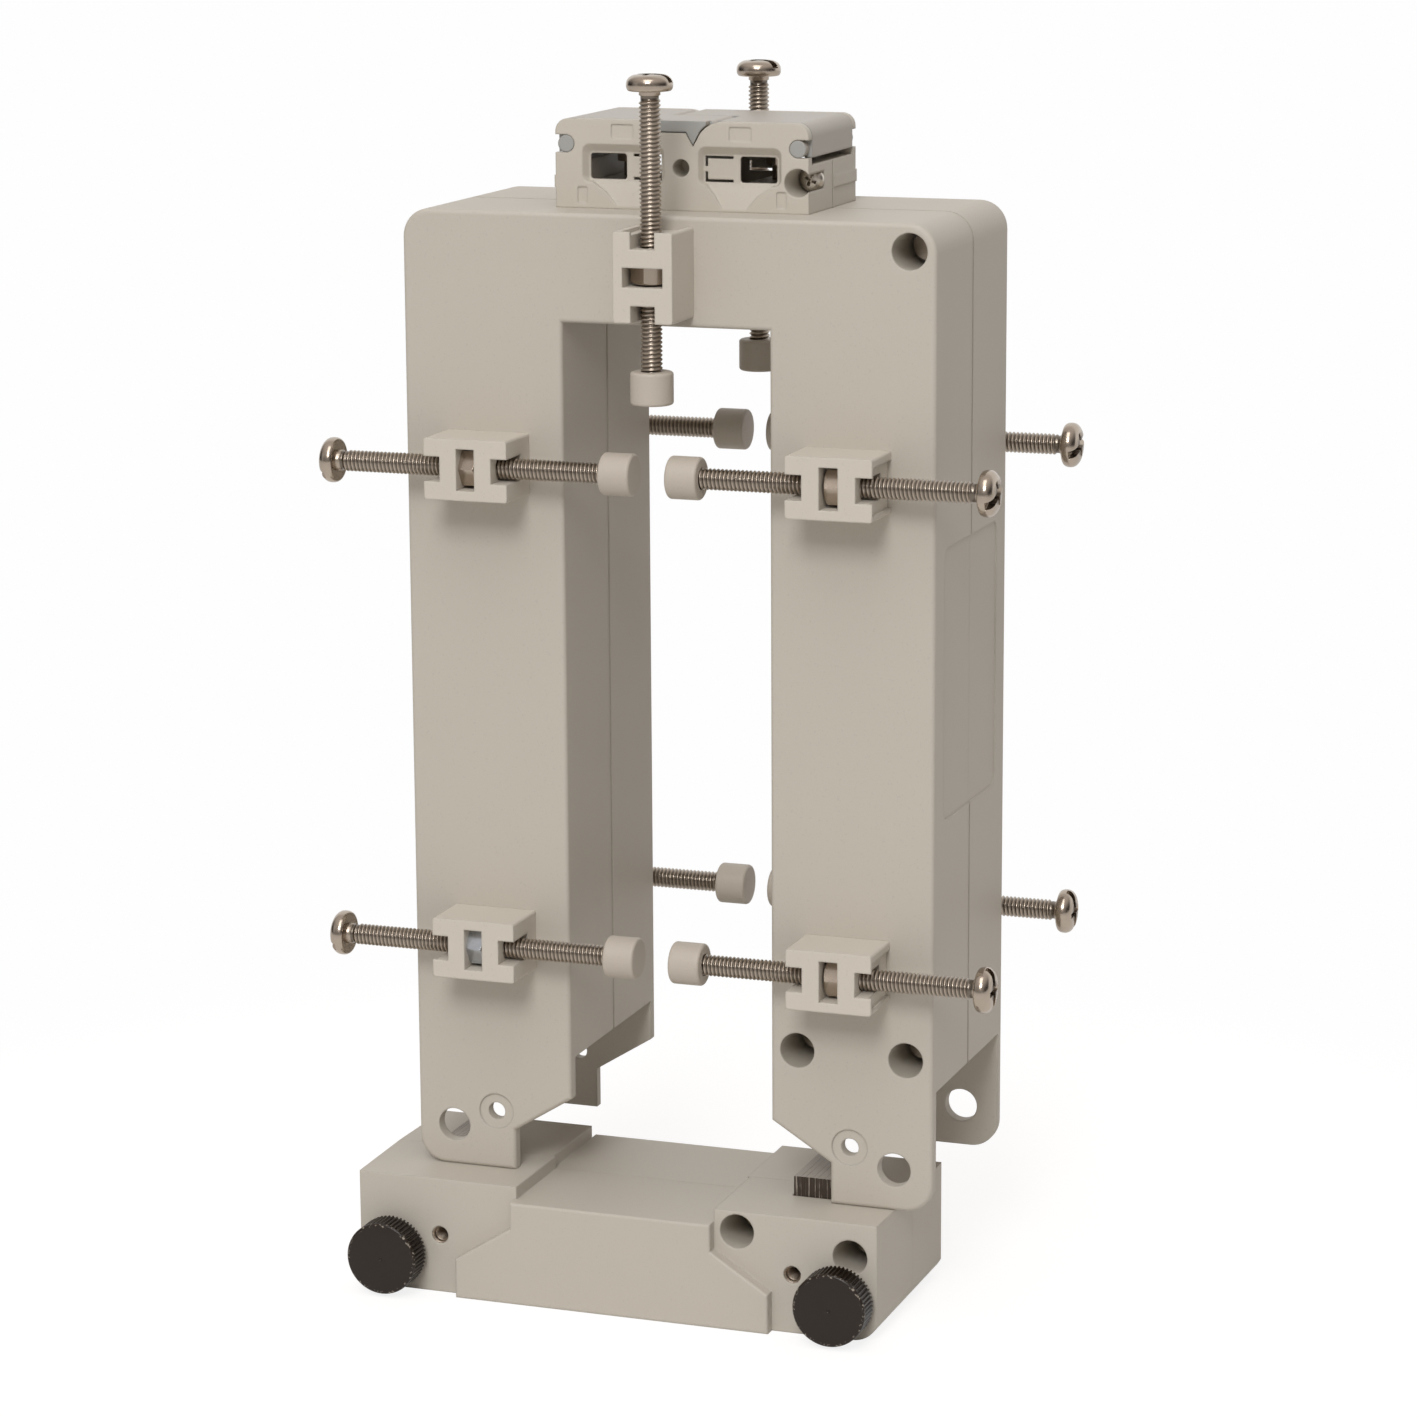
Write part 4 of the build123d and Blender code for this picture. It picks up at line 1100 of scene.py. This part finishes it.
class DressTerminals(bpy.types.Operator):
    """Give the terminal block, its lids and its contacts their finishes"""

    bl_idname = "transformer.terminals"
    bl_label = "Terminal block"

    def execute(self, context):
        looks = context.scene.transformer_finishes
        block = moulded(
            "terminal_plastic_grain",
            tuple(looks.terminal),
            looks.grain,
            looks.edge,
            roughness=0.5,
            speckle=0.05,
            depth=0.01,
        )
        lid = moulded(
            "lid_plastic_smooth",
            tuple(looks.lid),
            looks.grain,
            looks.edge,
            roughness=0.42,
            speckle=0.05,
            depth=0.006,
            # Painted light: the warmer tint on the lids' tops and sides
            light_tint_painted=(1.14, 1.05, 0.97),
        )
        dress(["terminal_block"], block)
        dress([f"terminal_lid_{side}" for side in SIDES], lid)
        contact = plated("contact_tin_plating", slot_colour("nickel_steel"), 0.32)
        dress([f"terminal_contact_{side}" for side in SIDES], contact)
        dress([f"terminal_screw_{side}" for side in SIDES], nickel(looks))
        return {"FINISHED"}


class MakeSideScrews(bpy.types.Operator):
    """Make the two recessed screws beside the terminals"""

    bl_idname = "transformer.side_screws"
    bl_label = "Side screws"

    def execute(self, context):
        sizes = context.scene.transformer_threads
        low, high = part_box("terminal_side_screws")
        middle = (low + high) / 2
        radius = (high.z - low.z) / 2
        bright = plated("bright_nickel", slot_colour("nickel_steel"), 0.3)
        mesh = screw_mesh(
            "side_screw", radius, SIDE_HEAD, SIDE_THREAD_RADIUS, SIDE_LENGTH, sizes
        )
        mesh.transform(Matrix.Rotation(radians(SIDE_TURN), 4, "Z"))
        for name, x, y, facing in (
            ("front", high.x - radius, low.y, 1),
            ("rear", low.x + radius, high.y, -1),
        ):
            piece = make_object(f"recessed_side_screw_{name}", mesh, bright)
            matrix = standing(Vector((x, y, middle.z)), (0, facing, 0))
            seat(piece, "transformer", ["terminal_side_screws"], matrix)
        return {"FINISHED"}


class MakeCores(bpy.types.Operator):
    """Make both laminated core halves and dress the bobbins and windings"""

    bl_idname = "transformer.cores"
    bl_label = "Cores and windings"

    def execute(self, context):
        sizes = context.scene.transformer_cores
        dark, light = (0.05, 0.036, 0.026), (0.34, 0.30, 0.255)
        steel = striped("core_strip_edges", dark, light, 0.3 * MM)
        for node, opens_up in (("yoke_core", True), ("main_core", False)):
            mesh = core_mesh(f"{node}_strips", node, opens_up, sizes)
            piece = make_object(f"{node}_strips", mesh, steel)
            seat(piece, "transformer", [node])
        bobbin = moulded("bobbin_plastic_plain", slot_colour("bobbin_plastic"), 0.3 * MM, 0.2 * MM)
        dress([f"bobbin_{side}" for side in SIDES], bobbin)
        copper = wound("copper_turns", slot_colour("copper_winding"), 0.8 * MM)
        dress([f"secondary_winding_{side}" for side in SIDES], copper)
        return {"FINISHED"}


class MakeKnobs(bpy.types.Operator):
    """Make the two ridged thumb knobs and dress their studs"""

    bl_idname = "transformer.knobs"
    bl_label = "Thumb knobs"

    def execute(self, context):
        sizes = context.scene.transformer_knobs
        looks = context.scene.transformer_finishes
        low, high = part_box("thumb_knob_left")
        thickness = high.y - low.y + sizes.collar
        radius = (high.x - low.x) / 2 + sizes.ridge
        mesh = knob_mesh("thumb_knob", radius, thickness, sizes)
        material = black_plastic_painted_glints("knob_plastic_black", tuple(looks.knob), radius, thickness)
        for side in SIDES:
            low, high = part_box(f"thumb_knob_{side}")
            middle = (low + high) / 2
            piece = make_object(f"ridged_knob_{side}", mesh, material)
            matrix = standing(Vector((middle.x, high.y + sizes.collar, middle.z)), (0, -1, 0))
            seat(piece, f"knob_{side}", [f"thumb_knob_{side}"], matrix)
        zinc = plated("zinc_stud", tuple(looks.zinc), 0.28)
        dress([f"thumb_stud_{side}" for side in SIDES], zinc)
        return {"FINISHED"}


class MakeInserts(bpy.types.Operator):
    """Make the threaded inserts of the yoke and dress the shell screws"""

    bl_idname = "transformer.inserts"
    bl_label = "Inserts and shell screws"

    def execute(self, context):
        sizes = context.scene.transformer_threads
        looks = context.scene.transformer_finishes
        dull = plated("insert_dull_nickel", shade(looks.nickel, 1.1), 0.45)
        low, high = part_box("yoke_inserts")
        meshes = {
            kind: insert_mesh(f"{kind}_insert", outer, bore, length, sizes)
            for kind, (outer, bore, length, _, _) in INSERTS.items()
        }
        for row, facing in zip(ROWS, (-1, 1)):
            face = low.y if facing < 0 else high.y
            for side, sign in zip(SIDES, (-1, 1)):
                for kind, (_, _, _, x, z) in INSERTS.items():
                    piece = make_object(f"{kind}_insert_{row}_{side}", meshes[kind], dull)
                    matrix = standing(Vector((sign * x, face, z)), (0, -facing, 0))
                    seat(piece, "transformer", ["yoke_inserts"], matrix)
        dress(["frame_shell_screws", "yoke_shell_screws"], nickel(looks))
        return {"FINISHED"}


class SetStage(bpy.types.Operator):
    """Set the floor, the light and the camera"""

    bl_idname = "transformer.stage"
    bl_label = "Stage"

    def execute(self, context):
        stage = context.scene.transformer_stage
        self.make_world(context.scene, stage)
        self.make_floor(stage)
        self.make_lamps(context.scene, stage)
        self.make_camera(context.scene, stage)
        context.scene.view_settings.view_transform = "Standard"
        return {"FINISHED"}

    def make_world(self, scene, stage):
        world = bpy.data.worlds.new("studio")
        scene.world = world
        world.use_nodes = True
        nodes = Nodes(world.node_tree)
        camera_ray, glossy_ray, transmission_ray = nodes.rays()
        direction = nodes.add("ShaderNodeTexCoord", output="Generated")
        _, depth, height = nodes.axes(direction)
        in_front = 1 - nodes.ramp(depth, -0.9, -0.3)
        at_back = nodes.ramp(depth, 0.5, 0.95)
        overhead = nodes.ramp(height, 0.05, 0.9)
        walls = nodes.mix(in_front, shade(ROOM_TINT, SIDE_WALLS), shade(ROOM_TINT, FRONT_WALL))
        walls = nodes.mix(at_back, walls, shade(ROOM_TINT, BACK_WALL))
        room = nodes.mix(overhead, walls, shade(ROOM_TINT, CEILING))
        light = nodes.add("ShaderNodeBackground", None, {"Color": room, "Strength": stage.fill})
        pale = {"Color": WHITE, "Strength": stage.background}
        backdrop = nodes.add("ShaderNodeBackground", None, pale)
        shown = camera_ray + transmission_ray
        mirrored = glossy_ray * nodes.ramp(depth, 0.25, 0.6)
        seen = nodes.add("ShaderNodeMath", {"operation": "MAXIMUM"}, {0: shown, 1: mirrored})
        mixed = nodes.add("ShaderNodeMixShader", None, {0: seen, 1: light, 2: backdrop})
        nodes.add("ShaderNodeOutputWorld", None, {"Surface": mixed})

    def make_floor(self, stage):
        reach = FLOOR_REACH
        corners = [(-reach, -reach, 0), (reach, -reach, 0), (reach, reach, 0), (-reach, reach, 0)]
        mesh = bpy.data.meshes.new("floor")
        mesh.from_pydata(corners, [], [(0, 1, 2, 3)])
        material = bpy.data.materials.new("pale_floor")
        material.use_nodes = True
        nodes = Nodes(material.node_tree)
        settings = {"operation": "LENGTH"}
        distance = nodes.add("ShaderNodeVectorMath", settings, {0: nodes.place()}, output="Value")
        near = 1 - nodes.ramp(distance, 0.1, 0.3)
        # Near the transformer the camera sees a share of the shaded paper, so its shadow stays,
        # and the glow makes up for what that paper lacks to white
        shadow_share = 0.3
        near_glow = 0.2
        mirror_share = 0.5
        camera_ray, glossy_ray, transmission_ray = nodes.rays()
        seen = camera_ray + transmission_ray + glossy_ray * mirror_share
        pale = {"Color": WHITE, "Strength": near * near_glow + stage.background}
        glow = nodes.add("ShaderNodeEmission", None, pale)
        # Painted pool of light: the paper is lighter beside the transformer
        paper_colour = nodes.mix(nodes.ramp(distance, 0.15, 0.8), PAPER_NEAR, PAPER_FAR)
        paper = nodes.add("ShaderNodeBsdfDiffuse", None, {"Color": paper_colour})
        factor = seen * (1 - near * shadow_share)
        lit = nodes.add("ShaderNodeMixShader", None, {0: factor, 1: paper, 2: glow})
        nodes.add("ShaderNodeOutputMaterial", None, {"Surface": lit})
        make_object("floor", mesh, material)

    def make_lamps(self, scene, stage):
        for name, place, size, share in LAMPS:
            data = bpy.data.lights.new(name, "AREA")
            data.shape = "SQUARE"
            data.size = size
            data.energy = share * stage.key_power
            lamp = bpy.data.objects.new(name, data)
            lamp.location = place
            aim = Vector(LAMP_TARGET) - Vector(place)
            lamp.rotation_euler = aim.to_track_quat("-Z", "Y").to_euler()
            scene.collection.objects.link(lamp)

    def make_camera(self, scene, stage):
        data = bpy.data.cameras.new("camera")
        data.sensor_width = 36
        data.lens = stage.lens
        camera = bpy.data.objects.new("camera", data)
        scene.collection.objects.link(camera)
        azimuth, elevation, roll = stage.azimuth, stage.elevation, stage.roll
        level = cos(elevation)
        forward = Vector((-sin(azimuth) * level, cos(azimuth) * level, -sin(elevation)))
        right = Vector((cos(azimuth), sin(azimuth), 0))
        up = right.cross(forward)
        leaning_right = cos(roll) * right + sin(roll) * up
        leaning_up = cos(roll) * up - sin(roll) * right
        matrix = Matrix((leaning_right, leaning_up, -forward)).transposed().to_4x4()
        matrix.translation = Vector(stage.camera_place)
        camera.matrix_world = matrix
        scene.camera = camera


OPERATORS = (
    DressHousing,
    DressClips,
    MakeClampScrews,
    MakeClampNuts,
    DressTerminals,
    MakeSideScrews,
    MakeCores,
    MakeKnobs,
    MakeInserts,
    SetStage,
)

PROPERTY_GROUPS = {
    "transformer_threads": ThreadSizes,
    "transformer_knobs": KnobSizes,
    "transformer_cores": CoreSizes,
    "transformer_finishes": Finishes,
    "transformer_stage": StageSettings,
}


class TransformerPanel(bpy.types.Panel):
    """Lists the pieces and their sizes"""

    bl_idname = "VIEW3D_PT_transformer"
    bl_label = "Current transformer"
    bl_space_type = "VIEW_3D"
    bl_region_type = "UI"
    bl_category = "Transformer"

    def draw(self, context):
        for name, group in PROPERTY_GROUPS.items():
            box = self.layout.box()
            box.label(text=group.__doc__)
            for setting in group.__annotations__:
                box.prop(getattr(context.scene, name), setting)
        for operator in OPERATORS:
            self.layout.operator(operator.bl_idname)


def register():
    for made in (*PROPERTY_GROUPS.values(), *OPERATORS, TransformerPanel):
        bpy.utils.register_class(made)
    for name, group in PROPERTY_GROUPS.items():
        setattr(bpy.types.Scene, name, PointerProperty(type=group))


def unregister():
    for name in PROPERTY_GROUPS:
        delattr(bpy.types.Scene, name)
    for made in reversed((*PROPERTY_GROUPS.values(), *OPERATORS, TransformerPanel)):
        bpy.utils.unregister_class(made)


def main():
    register()
    for operator in OPERATORS:
        group, name = operator.bl_idname.split(".")
        getattr(getattr(bpy.ops, group), name)()


if __name__ == "__main__":
    main()
